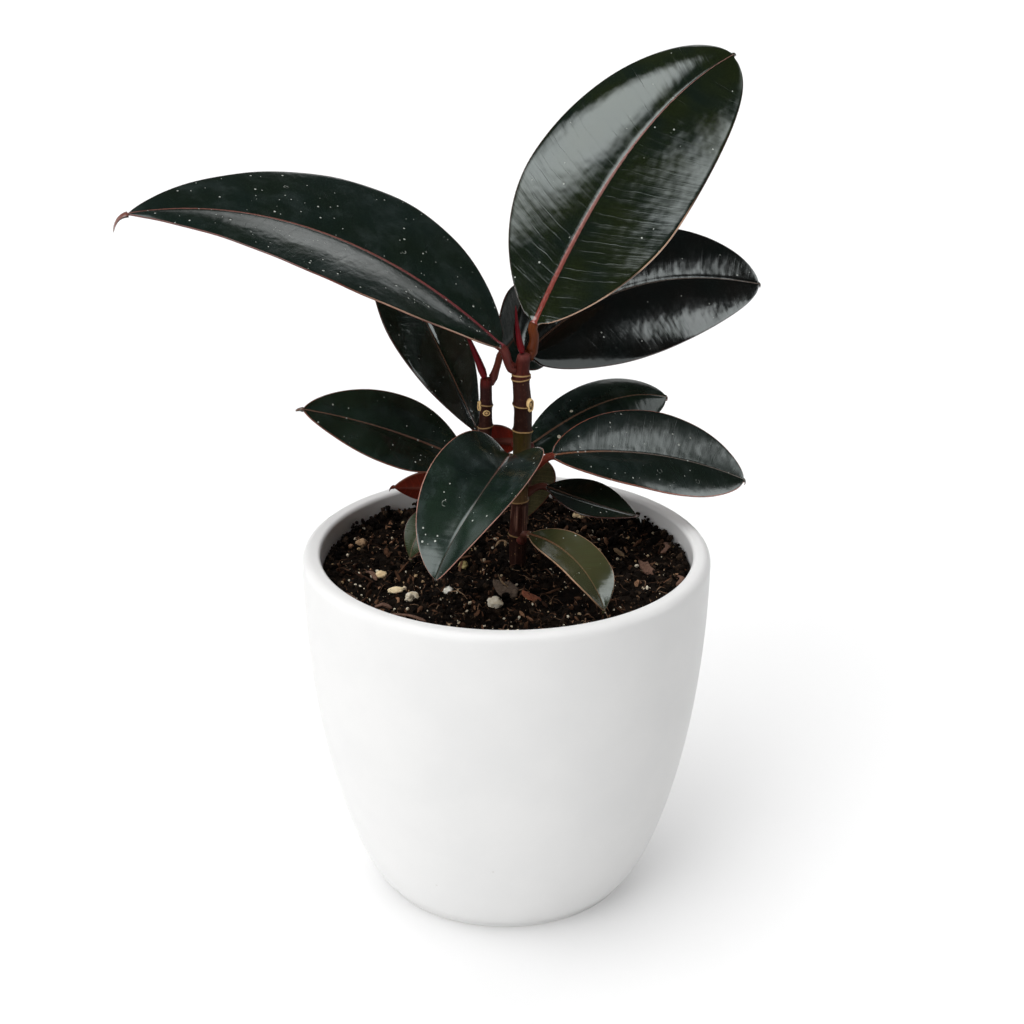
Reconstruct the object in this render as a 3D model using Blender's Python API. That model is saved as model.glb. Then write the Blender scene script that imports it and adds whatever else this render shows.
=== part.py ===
"""Potted rubber plant: a white ceramic pot with soil, two stems, leaves, bud sheaths and soil grains.

Lengths are in millimetres and are scaled to metres when a mesh is made.
The origin is the centre of the pot's flat base; +Z is up and -Y is the plant's front.
"""
import math
import random

import bmesh
import bpy
import numpy as np
from mathutils import Vector

MM = 0.001
GAP = 0.3                    # clear space between pieces that touch

# Pot
POT_RADIUS = 75.0            # widest outer radius, at the rim
POT_HEIGHT = 134.6
POT_BASE_RADIUS = 47.0       # flat underside
POT_WALL = 6.6
POT_FLOOR = 8.0              # thickness of the bottom
RIM_ROUND = 4.0
FOOT_ROUND = 2.5
BELLY_START = (10.0, 31.0)   # handle length and angle of the side curve at the foot
BELLY_END = (74.0, 0.5)      # handle length and angle of the side curve at the rim
POT_SIDES = 36

# Soil
SOIL_LEVEL = 125.0
SOIL_SIDES = 36
SOIL_RINGS = 5
SOIL_BUMP = 0.8

# Stems
STEM_SIDES = 12
STEM_DEPTH = 14.0            # how far a stem goes down into the soil

# Leaves
BLADE_STATIONS = (0.02, 0.07, 0.15, 0.26, 0.38, 0.51, 0.64, 0.76, 0.86, 0.935, 0.98)
ACROSS = (-1.0, -0.55, 0.0, 0.55, 1.0)
LEAF_THICKNESS = 1.0
SPINE_STEPS = 60


def clear_scene():
    for thing in list(bpy.data.objects):
        bpy.data.objects.remove(thing, do_unlink=True)


def material(name, colour, roughness, metallic=0.0):
    found = bpy.data.materials.get(name)
    if found:
        return found
    made = bpy.data.materials.new(name)
    made.use_nodes = True
    shader = made.node_tree.nodes["Principled BSDF"]
    shader.inputs["Base Color"].default_value = (*colour, 1.0)
    shader.inputs["Roughness"].default_value = roughness
    shader.inputs["Metallic"].default_value = metallic
    made.diffuse_color = (*colour, 1.0)
    return made


def solid(name, points, faces, surface):
    """Make one closed mesh object from points in millimetres."""
    mesh = bpy.data.meshes.new(name)
    mesh.from_pydata([tuple(np.asarray(p, float) * MM) for p in points], [], faces)
    work = bmesh.new()
    work.from_mesh(mesh)
    bmesh.ops.recalc_face_normals(work, faces=work.faces)
    work.to_mesh(mesh)
    work.free()
    thing = bpy.data.objects.new(name, mesh)
    bpy.context.scene.collection.objects.link(thing)
    mesh.materials.append(surface)
    return thing


def skin(rings):
    """Join rings of equal length into one closed tube with flat ends."""
    count = len(rings[0])
    points = [p for ring in rings for p in ring]
    faces = []
    for i in range(len(rings) - 1):
        for j in range(count):
            k = (j + 1) % count
            faces.append((i * count + j, i * count + k, (i + 1) * count + k, (i + 1) * count + j))
    last = (len(rings) - 1) * count
    faces.append(tuple(range(count))[::-1])
    faces.append(tuple(last + j for j in range(count)))
    return points, faces


def lathe(name, profile, sides, surface):
    """Turn a profile of (radius, height) about Z; its first and last points lie on the axis."""
    points = [(0.0, 0.0, profile[0][1])]
    for radius, height in profile[1:-1]:
        for j in range(sides):
            a = 2 * math.pi * j / sides
            points.append((radius * math.cos(a), radius * math.sin(a), height))
    points.append((0.0, 0.0, profile[-1][1]))
    faces = []
    rows = len(profile) - 2
    for j in range(sides):
        k = (j + 1) % sides
        faces.append((0, 1 + k, 1 + j))
        for i in range(rows - 1):
            a = 1 + i * sides
            b = a + sides
            faces.append((a + j, a + k, b + k, b + j))
        top = 1 + (rows - 1) * sides
        faces.append((top + j, top + k, len(points) - 1))
    return solid(name, points, faces, surface)


def bezier(p0, p1, p2, p3, steps):
    out = []
    for i in range(steps + 1):
        t = i / steps
        s = 1 - t
        out.append(s**3 * p0 + 3 * s * s * t * p1 + 3 * s * t * t * p2 + t**3 * p3)
    return out


def pot_outer():
    """Outer side of the pot from the flat base up to where the rim rounds over."""
    low = math.radians(BELLY_START[1])
    high = math.radians(BELLY_END[1])
    start = np.array([POT_BASE_RADIUS, FOOT_ROUND])
    end = np.array([POT_RADIUS, POT_HEIGHT - RIM_ROUND])
    a = start + BELLY_START[0] * np.array([math.cos(low), math.sin(low)])
    b = end - BELLY_END[0] * np.array([math.sin(high), math.cos(high)])
    return bezier(start, a, b, end, 10)


def pot_inner():
    """Inner side, one wall thickness inside the outer one, from the floor up to the rim."""
    outer = pot_outer()
    inner = []
    for i in range(1, len(outer)):
        ahead = outer[min(i + 1, len(outer) - 1)] - outer[i - 1]
        ahead = ahead / np.linalg.norm(ahead)
        inner.append(outer[i] + POT_WALL * np.array([-ahead[1], ahead[0]]))
    return [p for p in inner if p[1] > POT_FLOOR + 3.0]


def make_pot():
    outer = pot_outer()
    inner = pot_inner()
    profile = [(0.0, 0.0)]
    foot = POT_BASE_RADIUS - FOOT_ROUND * 0.6
    profile.append((foot, 0.0))
    profile.append((foot + FOOT_ROUND * 0.45, FOOT_ROUND * 0.3))
    profile += [tuple(p) for p in outer]
    inner_edge = POT_RADIUS - POT_WALL
    for turn in (30, 60, 90):
        a = math.radians(turn)
        profile.append((POT_RADIUS - RIM_ROUND * (1 - math.cos(a)), POT_HEIGHT - RIM_ROUND * (1 - math.sin(a))))
    lip = POT_RADIUS - RIM_ROUND - inner_edge
    for turn in (45, 90):
        a = math.radians(turn)
        profile.append((inner_edge + lip * (1 - math.sin(a)), POT_HEIGHT - lip * (1 - math.cos(a))))
    profile += [tuple(p) for p in inner[:-1][::-1]]
    profile.append((inner[0][0] - 5.0, POT_FLOOR))
    profile.append((0.0, POT_FLOOR))
    glaze = material("white ceramic", (0.86, 0.86, 0.85), 0.35)
    return lathe("pot", profile, POT_SIDES, glaze)


def soil_height(x, y):
    """Height of the lumpy soil top."""
    bump = math.sin(0.19 * x + 0.6) * math.cos(0.23 * y - 0.4) + 0.5 * math.sin(0.41 * x - 0.33 * y)
    return SOIL_LEVEL + SOIL_BUMP * 0.6 * bump


def soil_side():
    """Side of the soil, one gap inside the pot: (radius, height) pairs going up."""
    inner = pot_inner()
    side = [np.array([inner[0][0] - 5.0 - GAP, POT_FLOOR + GAP])]
    side += [p - np.array([GAP, 0.0]) for p in inner if p[1] < SOIL_LEVEL - 6.0]
    radius_top = POT_RADIUS - POT_WALL - GAP - 0.3
    side.append(np.array([radius_top, SOIL_LEVEL - 3.0]))
    return side


def make_soil():
    side = soil_side()
    sides = SOIL_SIDES
    points = [(0.0, 0.0, side[0][1])]
    rows = [(radius, height, False) for radius, height in side]
    edge = side[-1][0]
    for i in range(SOIL_RINGS):
        rows.append((edge * (1 - i / SOIL_RINGS) - 0.4, 0.0, True))
    for radius, height, on_top in rows:
        for j in range(sides):
            a = 2 * math.pi * j / sides
            x = radius * math.cos(a)
            y = radius * math.sin(a)
            points.append((x, y, soil_height(x, y) if on_top else height))
    points.append((0.0, 0.0, soil_height(0.0, 0.0)))
    faces = []
    for j in range(sides):
        k = (j + 1) % sides
        faces.append((0, 1 + k, 1 + j))
        for i in range(len(rows) - 1):
            a = 1 + i * sides
            b = a + sides
            faces.append((a + j, a + k, b + k))
            faces.append((a + j, b + k, b + j))
        top = 1 + (len(rows) - 1) * sides
        faces.append((top + j, top + k, len(points) - 1))
    return solid("soil", points, faces, material("potting soil", (0.03, 0.02, 0.014), 0.95))


def cut(target, cutter):
    """Cut one mesh out of another with an exact Boolean."""
    cutter.hide_render = True
    cutter.display_type = "WIRE"
    hole = target.modifiers.new(cutter.name, "BOOLEAN")
    hole.operation = "DIFFERENCE"
    hole.solver = "EXACT"
    hole.object = cutter


# Stem axes: (x, y, z, radius), from the soil line upwards.
MAIN_STEM = (
    (4, 5, 126, 3.1), (4.2, 5, 137, 3.2), (4.2, 5, 138.5, 3.6), (4.3, 5, 140, 3.2),
    (4.6, 5, 150, 3.0), (4.7, 5, 151.5, 3.2), (4.8, 5, 153, 2.9), (5.2, 5.2, 168, 3.1),
    (5.5, 5.3, 177.5, 3.4), (5.6, 5.3, 179, 3.6), (5.6, 5.4, 180.5, 3.3), (5.7, 5.5, 187.5, 3.3),
    (5.6, 5.5, 189, 3.5), (5.4, 5.5, 190.5, 3.3), (4.8, 5.5, 198, 3.0), (4.8, 5.5, 199.5, 3.1),
    (4.9, 5.5, 201, 2.7), (5.8, 5.5, 207, 2.5), (6.0, 5.5, 208.5, 2.3),
)
SECOND_STEM = (
    (-16, 23, 126, 2.9), (-13.4, 18.9, 138, 2.7), (-13.1, 18.4, 139.5, 3.0), (-12.8, 17.9, 141, 2.6),
    (-9.4, 12.6, 157, 2.5), (-8.4, 10, 171, 2.4), (-8.0, 9.3, 177.5, 2.4), (-7.9, 9.2, 179, 2.8),
    (-7.9, 9.1, 180.5, 2.4), (-7.9, 9, 186, 2.3), (-7.8, 9, 187.5, 2.5), (-7.8, 9, 189, 2.2),
    (-7.8, 9, 196, 2.2), (-7.8, 9, 198, 2.0),
)


def stem_rings(axis, depth, grow=0.0):
    foot = axis[0]
    rows = [(foot[0], foot[1], SOIL_LEVEL - depth, foot[3] * 0.9)] + list(axis)
    rings = []
    for x, y, z, radius in rows:
        ring = []
        for j in range(STEM_SIDES):
            a = 2 * math.pi * j / STEM_SIDES
            ring.append((x + (radius + grow) * math.cos(a), y + (radius + grow) * math.sin(a), z))
        rings.append(ring)
    return rings


def make_stem(name, axis, surface, soil):
    points, faces = skin(stem_rings(axis, STEM_DEPTH))
    stem = solid(name, points, faces, surface)
    sleeve = stem_rings(axis[:3], STEM_DEPTH + GAP, GAP)
    points, faces = skin(sleeve)
    cut(soil, solid(name + "_socket", points, faces, surface))
    return stem


def stem_point(axis, z):
    """Centre and radius of a stem at one height."""
    for low, high in zip(axis[:-1], axis[1:]):
        if low[2] <= z <= high[2]:
            t = (z - low[2]) / (high[2] - low[2])
            both = [a + t * (b - a) for a, b in zip(low, high)]
            return np.array(both[:3]), both[3]
    return np.array(axis[-1][:3], float), axis[-1][3]


def frame_at(heading, pitch, roll):
    """Forward, left and up directions of a leaf."""
    h, p, r = (math.radians(v) for v in (heading, pitch, roll))
    forward = np.array([math.cos(p) * math.cos(h), math.cos(p) * math.sin(h), math.sin(p)])
    left = np.array([-math.sin(h), math.cos(h), 0.0])
    up = np.cross(forward, left)
    return forward, left * math.cos(r) + up * math.sin(r), up * math.cos(r) - left * math.sin(r)


def half_width(u, widest, shoulder, point):
    """Relative half width of a blade: 0 at the base, 1 at its widest, 0 at the tip."""
    if u < widest:
        return math.sin(math.pi / 2 * u / widest) ** shoulder
    return max(0.0, math.cos(math.pi / 2 * (u - widest) / (1 - widest))) ** point


def leaf(name, stem, root_z, root_turn, base, heading, pitch, length, width, surface,
         arch=0, arch2=0, sway=0, sway2=0, roll=0, twist=0, fold=(14, 14), curl=(-10, -10), ease=0,
         widest=0.5, shoulder=0.72, point=0.85, stalk=1.3, climb=0.35, drip=3.0, drip_width=1.0, thick=LEAF_THICKNESS):
    """One leaf with its stalk: a thin blade swept along a curved midrib.

    root_z and root_turn place the stalk's foot on the stem, climb is how steeply it leaves it, and
    base is where the blade starts.
    pitch falls by arch along the blade and heading drifts by sway; roll grows by twist.
    fold raises the (left, right) halves from the midrib and a negative curl bends them back down;
    ease makes the curl stronger towards the tip, and drip is the length of its soft point.
    """
    base = np.array(base, float)
    forward, left, up = frame_at(heading, pitch, roll)

    # Stalk
    centre, radius = stem_point(stem, root_z)
    turn = math.radians(root_turn)
    out = np.array([math.cos(turn), math.sin(turn), 0.0])
    foot = centre + (radius + GAP + 0.05) * out
    reach = np.linalg.norm(base - foot)
    lift = out + np.array([0.0, 0.0, climb])
    track = bezier(foot, foot + 0.35 * reach * lift, base - 0.35 * reach * forward, base, 4)
    rings = []
    corners = len(ACROSS) * 2
    for i in range(len(track)):
        ahead = track[min(i + 1, len(track) - 1)] - track[max(i - 1, 0)]
        if i == 0:
            ahead = out
        ahead = ahead / np.linalg.norm(ahead)
        side = left - ahead * np.dot(left, ahead)
        side = side / np.linalg.norm(side)
        rise = np.cross(ahead, side)
        ring = []
        for k in range(corners):
            a = math.pi - (k + 0.5) * 2 * math.pi / corners
            ring.append(track[i] + stalk * (math.cos(a) * side + math.sin(a) * rise))
        rings.append(ring)

    # Blade
    centre = base.copy()
    done = 0.0
    step = length / SPINE_STEPS
    stations = {}
    for n in range(SPINE_STEPS + 1):
        u = n / SPINE_STEPS
        stations[n] = (centre.copy(), frame_at(heading + sway * u + sway2 * u * u,
                                               pitch + arch * u + arch2 * u * u, roll + twist * u))
        middle = (n + 0.5) / SPINE_STEPS
        ahead = frame_at(heading + sway * middle + sway2 * middle * middle,
                         pitch + arch * middle + arch2 * middle * middle, 0)[0]
        centre = centre + ahead * step
    for u in BLADE_STATIONS:
        centre, (ahead, side, rise) = stations[round(u * SPINE_STEPS)]
        centre = centre + ahead * (u * SPINE_STEPS - round(u * SPINE_STEPS)) * step
        half = width / 2 * half_width(u, widest, shoulder, point)
        ridge = 1.2 * stalk * (1 - u)
        ring = []
        for k in range(corners):
            on_top = k < len(ACROSS)
            s = ACROSS[k] if on_top else ACROSS[corners - 1 - k]
            hand = 0 if s > 0 else 1
            tilt = math.radians(fold[hand] * (1 - 0.5 * u))
            bend = math.radians(curl[hand] * (1 + ease * (u - 0.5))) or 0.001
            across = half * (math.sin(tilt + bend * abs(s)) - math.sin(tilt)) / bend
            raised = -half * (math.cos(tilt + bend * abs(s)) - math.cos(tilt)) / bend
            body = thick * (1 - 0.4 * abs(s)) / 2
            if s == 0 and not on_top:
                body = body + ridge
            ring.append(centre + math.copysign(across, s) * side + (raised + (body if on_top else -body)) * rise)
        rings.append(ring)

    # Drip tip
    centre, (ahead, side, rise) = stations[SPINE_STEPS]
    for reach, size in ((0.3, 0.75), (1.0, 0.45)):
        middle = centre + drip * reach * (1 - 0.4 * reach) * ahead - 0.7 * drip * reach * reach * rise
        ring = []
        for k in range(corners):
            a = math.pi - (k + 0.5) * 2 * math.pi / corners
            ring.append(middle + size * (drip_width * math.cos(a) * side + 0.8 * math.sin(a) * rise))
        rings.append(ring)
    points, faces = skin(rings)
    return solid(name, points, faces, surface)


def bud_sheath(name, foot, knee, tip, radius, surface):
    """A slender pointed sheath that wraps the next leaf."""
    track = [np.array(foot, float), np.array(knee, float), np.array(tip, float)]
    rings = []
    for t, size in ((0, 0.8), (0.12, 1.0), (0.35, 0.86), (0.6, 0.62), (0.82, 0.4), (1.0, 0.15)):
        s = 1 - t
        middle = s * s * track[0] + 2 * s * t * track[1] + t * t * track[2]
        ahead = Vector(2 * s * (track[1] - track[0]) + 2 * t * (track[2] - track[1])).normalized()
        side = ahead.cross(Vector((0, 1, 0))).normalized()
        rise = side.cross(ahead)
        ring = []
        for k in range(10):
            a = 2 * math.pi * k / 10
            ring.append(middle + radius * size * (math.cos(a) * np.array(side) + math.sin(a) * np.array(rise)))
        rings.append(ring)
    points, faces = skin(rings)
    return solid(name, points, faces, surface)


def grain_mesh(name, x, y, size, flat, turn, seed, surface, grow=0.0):
    """A rounded lump or a flat chip, half sunk in the soil; size is (length, width)."""
    work = bmesh.new()
    bmesh.ops.create_icosphere(work, subdivisions=2 if flat > 0.5 else 1, radius=1.0)
    dice = random.Random(seed)
    turn = math.radians(turn)
    level = soil_height(x, y) + size[1] * flat * 0.18
    points = []
    for corner in work.verts:
        wobble = 1 + dice.uniform(-0.12, 0.12)
        px = corner.co.x * (size[0] / 2 * wobble + grow)
        py = corner.co.y * (size[1] / 2 * wobble + grow)
        pz = corner.co.z * (size[1] / 2 * flat * wobble + grow)
        points.append((x + px * math.cos(turn) - py * math.sin(turn),
                       y + px * math.sin(turn) + py * math.cos(turn), level + pz))
    faces = [tuple(v.index for v in face.verts) for face in work.faces]
    work.free()
    return solid(name, points, faces, surface)


def make_grain(name, soil, surface, **shape):
    grain_mesh(name, surface=surface, **shape)
    cut(soil, grain_mesh(name + "_socket", surface=surface, grow=GAP + 0.05, **shape))


clear_scene()
make_pot()
soil = make_soil()

bark = material("stem bark", (0.10, 0.035, 0.028), 0.5)
green = material("leaf green", (0.012, 0.03, 0.018), 0.3)
olive = material("leaf olive", (0.06, 0.09, 0.035), 0.35)
red = material("bud red", (0.25, 0.012, 0.02), 0.4)
perlite = material("perlite", (0.75, 0.70, 0.58), 0.9)
chip = material("bark chip", (0.10, 0.07, 0.05), 0.9)

make_stem("main_stem", MAIN_STEM, bark, soil)
make_stem("second_stem", SECOND_STEM, bark, soil)

leaf("top_right_leaf", MAIN_STEM, 207.3, 35, (9.3, 9.0, 218.1), 41.5, 57, 126.5, 61.5, green,
     arch=-3, arch2=-35, sway=-10, sway2=0.8, roll=30, twist=22, fold=(3.5, -1.5), curl=(-30, 7),
     ease=2.3, widest=0.45, shoulder=0.68, point=0.41, stalk=1.7, climb=2.2, drip=4)
leaf("top_left_leaf", MAIN_STEM, 202.5, 185, (-1.9, 3.9, 210.9), 171, 43.1, 145.5, 75.5, green,
     arch=-42.5, arch2=-4.5, sway=-6, sway2=37.5, roll=-12, twist=-5, fold=(14, 14), curl=(0.5, -14.5),
     ease=0.4, widest=0.43, shoulder=0.71, point=0.87, stalk=1.6, climb=0.8, drip=9, drip_width=1.7)
leaf("right_shaded_leaf", MAIN_STEM, 200, 82, (6.2, 12.2, 205.4), 48, 26, 119.5, 54.5, green,
     arch=-57, arch2=14.5, sway=-8.5, sway2=-16.5, roll=47, twist=6, fold=(15.5, 19.5), curl=(-53, -34),
     ease=-1.9, widest=0.45, shoulder=0.5, point=0.58)
leaf("rear_upper_leaf", SECOND_STEM, 196, 35, (-2.2, 17.4, 204.3), 70, 6, 57, 32, green,
     arch=-9, arch2=5.5, sway=0.5, sway2=8, roll=51.5, twist=6.5, fold=(18.5, 3), curl=(4, -13), widest=0.43,
     shoulder=0.49, climb=2.0)
leaf("rear_left_leaf", SECOND_STEM, 174, 110, (-11, 14, 175), 147, 60.5, 87, 45, green,
     arch=-9, arch2=6.5, sway=-3.5, sway2=9.5, roll=6, twist=-11, fold=(4, 1.5), curl=(-5.5, -6.5),
     widest=0.52, shoulder=0.77)
leaf("lower_left_leaf", SECOND_STEM, 162, 200, (-15, 9.8, 165), 192, 30, 67, 29.5, green,
     arch=-12, sway=11, sway2=4, roll=-44, twist=-8, fold=(9.5, 12.5), curl=(-1, -5),
     widest=0.42, shoulder=0.68, point=0.7)
leaf("front_drooping_leaf", MAIN_STEM, 168, -100, (0.9, 0, 170.8), -97, 15, 69.5, 41.5, green,
     arch=-71.5, arch2=-10, sway=-39.5, sway2=-6.5, roll=-15, twist=7, fold=(32, 30), curl=(24, 9),
     ease=0.7, widest=0.47, shoulder=0.42, point=0.64, drip=1.2)
leaf("right_middle_leaf", MAIN_STEM, 164, -10, (16.2, 2, 170.2), 34.5, -6, 87, 37, green,
     arch=-19.5, arch2=-1, sway=-3.5, sway2=-19.5, roll=33.5, twist=1.5, fold=(33, 30), curl=(-19, -40),
     ease=-0.8, widest=0.57, shoulder=0.61, point=0.56, stalk=1.4)
leaf("right_rear_leaf", MAIN_STEM, 171, 48, (8.3, 21, 166.7), 31, 26.5, 64.5, 29.5, green,
     arch=-25, arch2=-22.5, sway=12.5, sway2=-13, roll=27.5, twist=16, fold=(-9, -9.5), curl=(-38, -22),
     ease=-0.2, widest=0.47, shoulder=0.46, point=0.45)
leaf("low_right_dark_leaf", MAIN_STEM, 154, 30, (14.5, 9.6, 155), -14, -16, 35.5, 21.5, green,
     arch=5, arch2=3.5, sway=-4, sway2=-1.5, roll=18.5, twist=-14, fold=(12.5, 11), curl=(4, 0.5))
leaf("low_front_olive_leaf", MAIN_STEM, 137, -70, (8, -12.4, 145.4), -51, 11, 47, 23, olive,
     arch=-45, arch2=-27, sway=8, sway2=-10, roll=23, twist=-50, fold=(16.5, 8.5), curl=(2.5, 8.5),
     ease=0.7, widest=0.7, shoulder=0.79, point=0.72, drip=2)
leaf("rear_hanging_leaf", MAIN_STEM, 166, 80, (9, 14, 166), 96, -50, 35, 21, olive,
     arch=-30)
leaf("low_left_tip_leaf", SECOND_STEM, 139, 210, (-18.5, 14, 142.5), 212, 15, 28, 17, olive,
     arch=-100, roll=-10, fold=(12, 12))
leaf("red_backed_leaf", SECOND_STEM, 150, 190, (-17, 13, 152), 183, 10, 25, 18, red,
     arch=-12, roll=60, fold=(10, 10))
leaf("small_red_leaf", MAIN_STEM, 171.8, 128, (3.9, 17.2, 169.9), 178, 2, 19.5, 13, red,
     roll=84, fold=(6, 6), curl=(-5, -5), widest=0.42, shoulder=0.42, stalk=1.0, drip=1)

bud_sheath("main_bud_sheath", (5.1, 4.9, 209.4), (3.4, 5.2, 215), (2.8, 5, 226.5), 1.25, red)
bud_sheath("second_bud_sheath", (-8.6, 9, 198.7), (-11.2, 10, 206), (-16.2, 11.5, 217), 1.45, red)

make_grain("perlite_grain_1", soil, perlite, x=-34, y=-26, size=(5, 4), flat=0.9, turn=20, seed=1)
make_grain("perlite_grain_2", soil, perlite, x=-40, y=-19, size=(6, 3.5), flat=0.6, turn=15, seed=2)
make_grain("perlite_grain_3", soil, perlite, x=-4, y=-30, size=(6, 5), flat=0.8, turn=-30, seed=3)
make_grain("perlite_grain_4", soil, perlite, x=-46, y=-7, size=(4.2, 3.6), flat=0.9, turn=0, seed=4)
make_grain("perlite_grain_5", soil, perlite, x=-55, y=22, size=(4.6, 4), flat=0.9, turn=50, seed=5)
make_grain("perlite_grain_6", soil, perlite, x=-21, y=-19, size=(3.8, 3.4), flat=0.9, turn=10, seed=6)
make_grain("perlite_grain_7", soil, perlite, x=-16, y=4, size=(4.4, 3.6), flat=0.9, turn=80, seed=7)
make_grain("perlite_grain_8", soil, perlite, x=28, y=50, size=(4.4, 4), flat=0.8, turn=0, seed=8)
make_grain("bark_chip_1", soil, chip, x=0, y=-21, size=(10, 8), flat=0.3, turn=-25, seed=11)
make_grain("bark_chip_2", soil, chip, x=9, y=-26, size=(8, 4.5), flat=0.4, turn=-30, seed=12)
make_grain("bark_chip_3", soil, chip, x=52, y=0, size=(7, 6), flat=0.4, turn=10, seed=13)
make_grain("bark_chip_4", soil, chip, x=43, y=13, size=(7, 3), flat=0.5, turn=35, seed=14)
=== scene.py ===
"""Looks of the potted rubber plant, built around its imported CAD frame.

Lengths in this script are millimetres, scaled to metres when a mesh is made.
"""

import math
import random

import bmesh
import bpy
import numpy as np
from mathutils import Matrix, Vector, noise


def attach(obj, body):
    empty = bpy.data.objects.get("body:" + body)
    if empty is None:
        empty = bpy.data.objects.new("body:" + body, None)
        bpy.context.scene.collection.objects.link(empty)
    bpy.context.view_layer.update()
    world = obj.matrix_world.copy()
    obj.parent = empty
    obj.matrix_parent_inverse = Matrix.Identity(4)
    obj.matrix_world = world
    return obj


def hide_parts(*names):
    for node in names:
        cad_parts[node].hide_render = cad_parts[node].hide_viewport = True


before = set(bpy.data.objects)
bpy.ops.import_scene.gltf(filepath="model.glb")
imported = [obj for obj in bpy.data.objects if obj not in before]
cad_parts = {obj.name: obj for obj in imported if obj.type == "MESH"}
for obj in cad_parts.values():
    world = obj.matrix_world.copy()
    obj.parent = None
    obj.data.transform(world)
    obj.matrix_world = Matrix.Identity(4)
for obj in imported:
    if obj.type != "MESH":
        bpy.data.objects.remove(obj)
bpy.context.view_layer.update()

MM = 0.001

# Pot, as in the CAD
POT_RADIUS = 75.0
POT_HEIGHT = 134.6
POT_BASE_RADIUS = 47.0
POT_WALL = 6.6
POT_FLOOR = 8.0
RIM_ROUND = 4.0
RIM_SOFT = 3.3          # the glazed rim is a little flatter than that
LIP_ROUND = 1.6
FOOT_ROUND = 2.5
BELLY_START = (10.0, 31.0)
BELLY_END = (74.0, 0.5)
POT_SIDES = 160
POT_STEPS = 48          # points up one side of the pot's profile
SOIL_LEVEL = 125.0
SOIL_RADIUS = POT_RADIUS - POT_WALL - 0.4


# ---------------------------------------------------------------- mesh helpers

def make_mesh(name, points, faces, surfaces, face_slots=None, smooth=True):
    """Make one object from points in millimetres."""
    mesh = bpy.data.meshes.new(name)
    mesh.from_pydata((np.asarray(points, float) * MM).tolist(), [], faces)
    for surface in surfaces:
        mesh.materials.append(surface)
    if face_slots is not None:
        mesh.polygons.foreach_set("material_index", np.asarray(face_slots, np.int32))
    mesh.polygons.foreach_set("use_smooth", np.full(len(mesh.polygons), smooth))
    mesh.update()
    thing = bpy.data.objects.new(name, mesh)
    bpy.context.scene.collection.objects.link(thing)
    return thing


def store(thing, name, values):
    """Keep one number or one vector for each point of a mesh."""
    values = np.asarray(values, np.float32)
    kind = "FLOAT" if values.ndim == 1 else "FLOAT_VECTOR"
    layer = thing.data.attributes.new(name, kind, "POINT")
    layer.data.foreach_set("value" if values.ndim == 1 else "vector", values.ravel())


def tie(thing, node=None):
    """Say which body a piece rides on and which CAD node it shows."""
    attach(thing, "root")
    if node:
        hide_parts(node)


def tube_faces(rows, columns, first=0):
    """Faces of a tube whose rings of points follow each other."""
    faces = []
    for i in range(rows - 1):
        for j in range(columns):
            k = (j + 1) % columns
            a = first + i * columns
            b = a + columns
            faces.append((a + j, a + k, b + k, b + j))
    return faces


def capped_tube(rows, columns, first=0):
    """Faces of a tube, then a flat cap at each end."""
    last = first + (rows - 1) * columns
    caps = [tuple(range(first, first + columns))[::-1], tuple(range(last, last + columns))]
    return tube_faces(rows, columns, first) + caps


def circle(sides):
    """Angles of evenly spaced points round one full turn."""
    return np.arange(sides) * 2 * math.pi / sides


def level_way(degrees):
    """Level direction at an angle from +X."""
    angle = math.radians(degrees)
    return np.array([math.cos(angle), math.sin(angle), 0.0])


def run_along(points):
    """Distance run along a line of points, at each of them."""
    return np.concatenate([[0], np.cumsum(np.linalg.norm(np.diff(points, axis=0), axis=1))])


def unit(v):
    return v / (np.linalg.norm(v, axis=-1, keepdims=True) + 1e-12)


def bezier(p0, p1, p2, p3, steps):
    t = np.linspace(0, 1, steps + 1)[:, None]
    s = 1 - t
    return s**3 * p0 + 3 * s * s * t * p1 + 3 * s * t * t * p2 + t**3 * p3


def noise_at(points, scale, seed):
    """Smooth noise from -1 to 1 at points in millimetres; scale is the size of its lumps."""
    shift = Vector((seed * 13.1, seed * 7.7, seed * 3.3))
    return np.array([noise.noise(Vector(p) / scale + shift) for p in points])


# ------------------------------------------------------------ material helpers

class Nodes:
    """A node tree under construction: short calls that add and link nodes."""

    def __init__(self, tree):
        self.tree = tree

    def add(self, kind, **settings):
        node = self.tree.nodes.new(kind)
        for key, value in settings.items():
            setattr(node, key, value)
        return node

    def put(self, socket, value):
        if isinstance(value, bpy.types.NodeSocket):
            self.tree.links.new(value, socket)
        elif isinstance(value, tuple) and len(value) == 3 and socket.type == "RGBA":
            socket.default_value = (*value, 1.0)
        else:
            socket.default_value = value

    def math(self, operation, a, b=0.0, c=0.0, clamp=False):
        node = self.add("ShaderNodeMath", operation=operation, use_clamp=clamp)
        for socket, value in zip(node.inputs, (a, b, c)):
            self.put(socket, value)
        return node.outputs[0]

    def plus(self, a, b, clamp=False):
        return self.math("ADD", a, b, clamp=clamp)

    def minus(self, a, b):
        return self.math("SUBTRACT", a, b)

    def times(self, a, b):
        return self.math("MULTIPLY", a, b)

    def over(self, a, b):
        return self.math("DIVIDE", a, b)

    def below(self, a, b):
        return self.math("LESS_THAN", a, b)

    def size(self, a):
        return self.math("ABSOLUTE", a)

    def length(self, x, y):
        return self.math("SQRT", self.plus(self.times(x, x), self.times(y, y)))

    def ramp(self, value, low, high, out_low=0.0, out_high=1.0):
        """Smooth step of a value between two limits."""
        node = self.add("ShaderNodeMapRange", interpolation_type="SMOOTHSTEP")
        for key, number in zip(("Value", "From Min", "From Max", "To Min", "To Max"),
                               (value, low, high, out_low, out_high)):
            self.put(node.inputs[key], number)
        return node.outputs[0]


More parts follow.
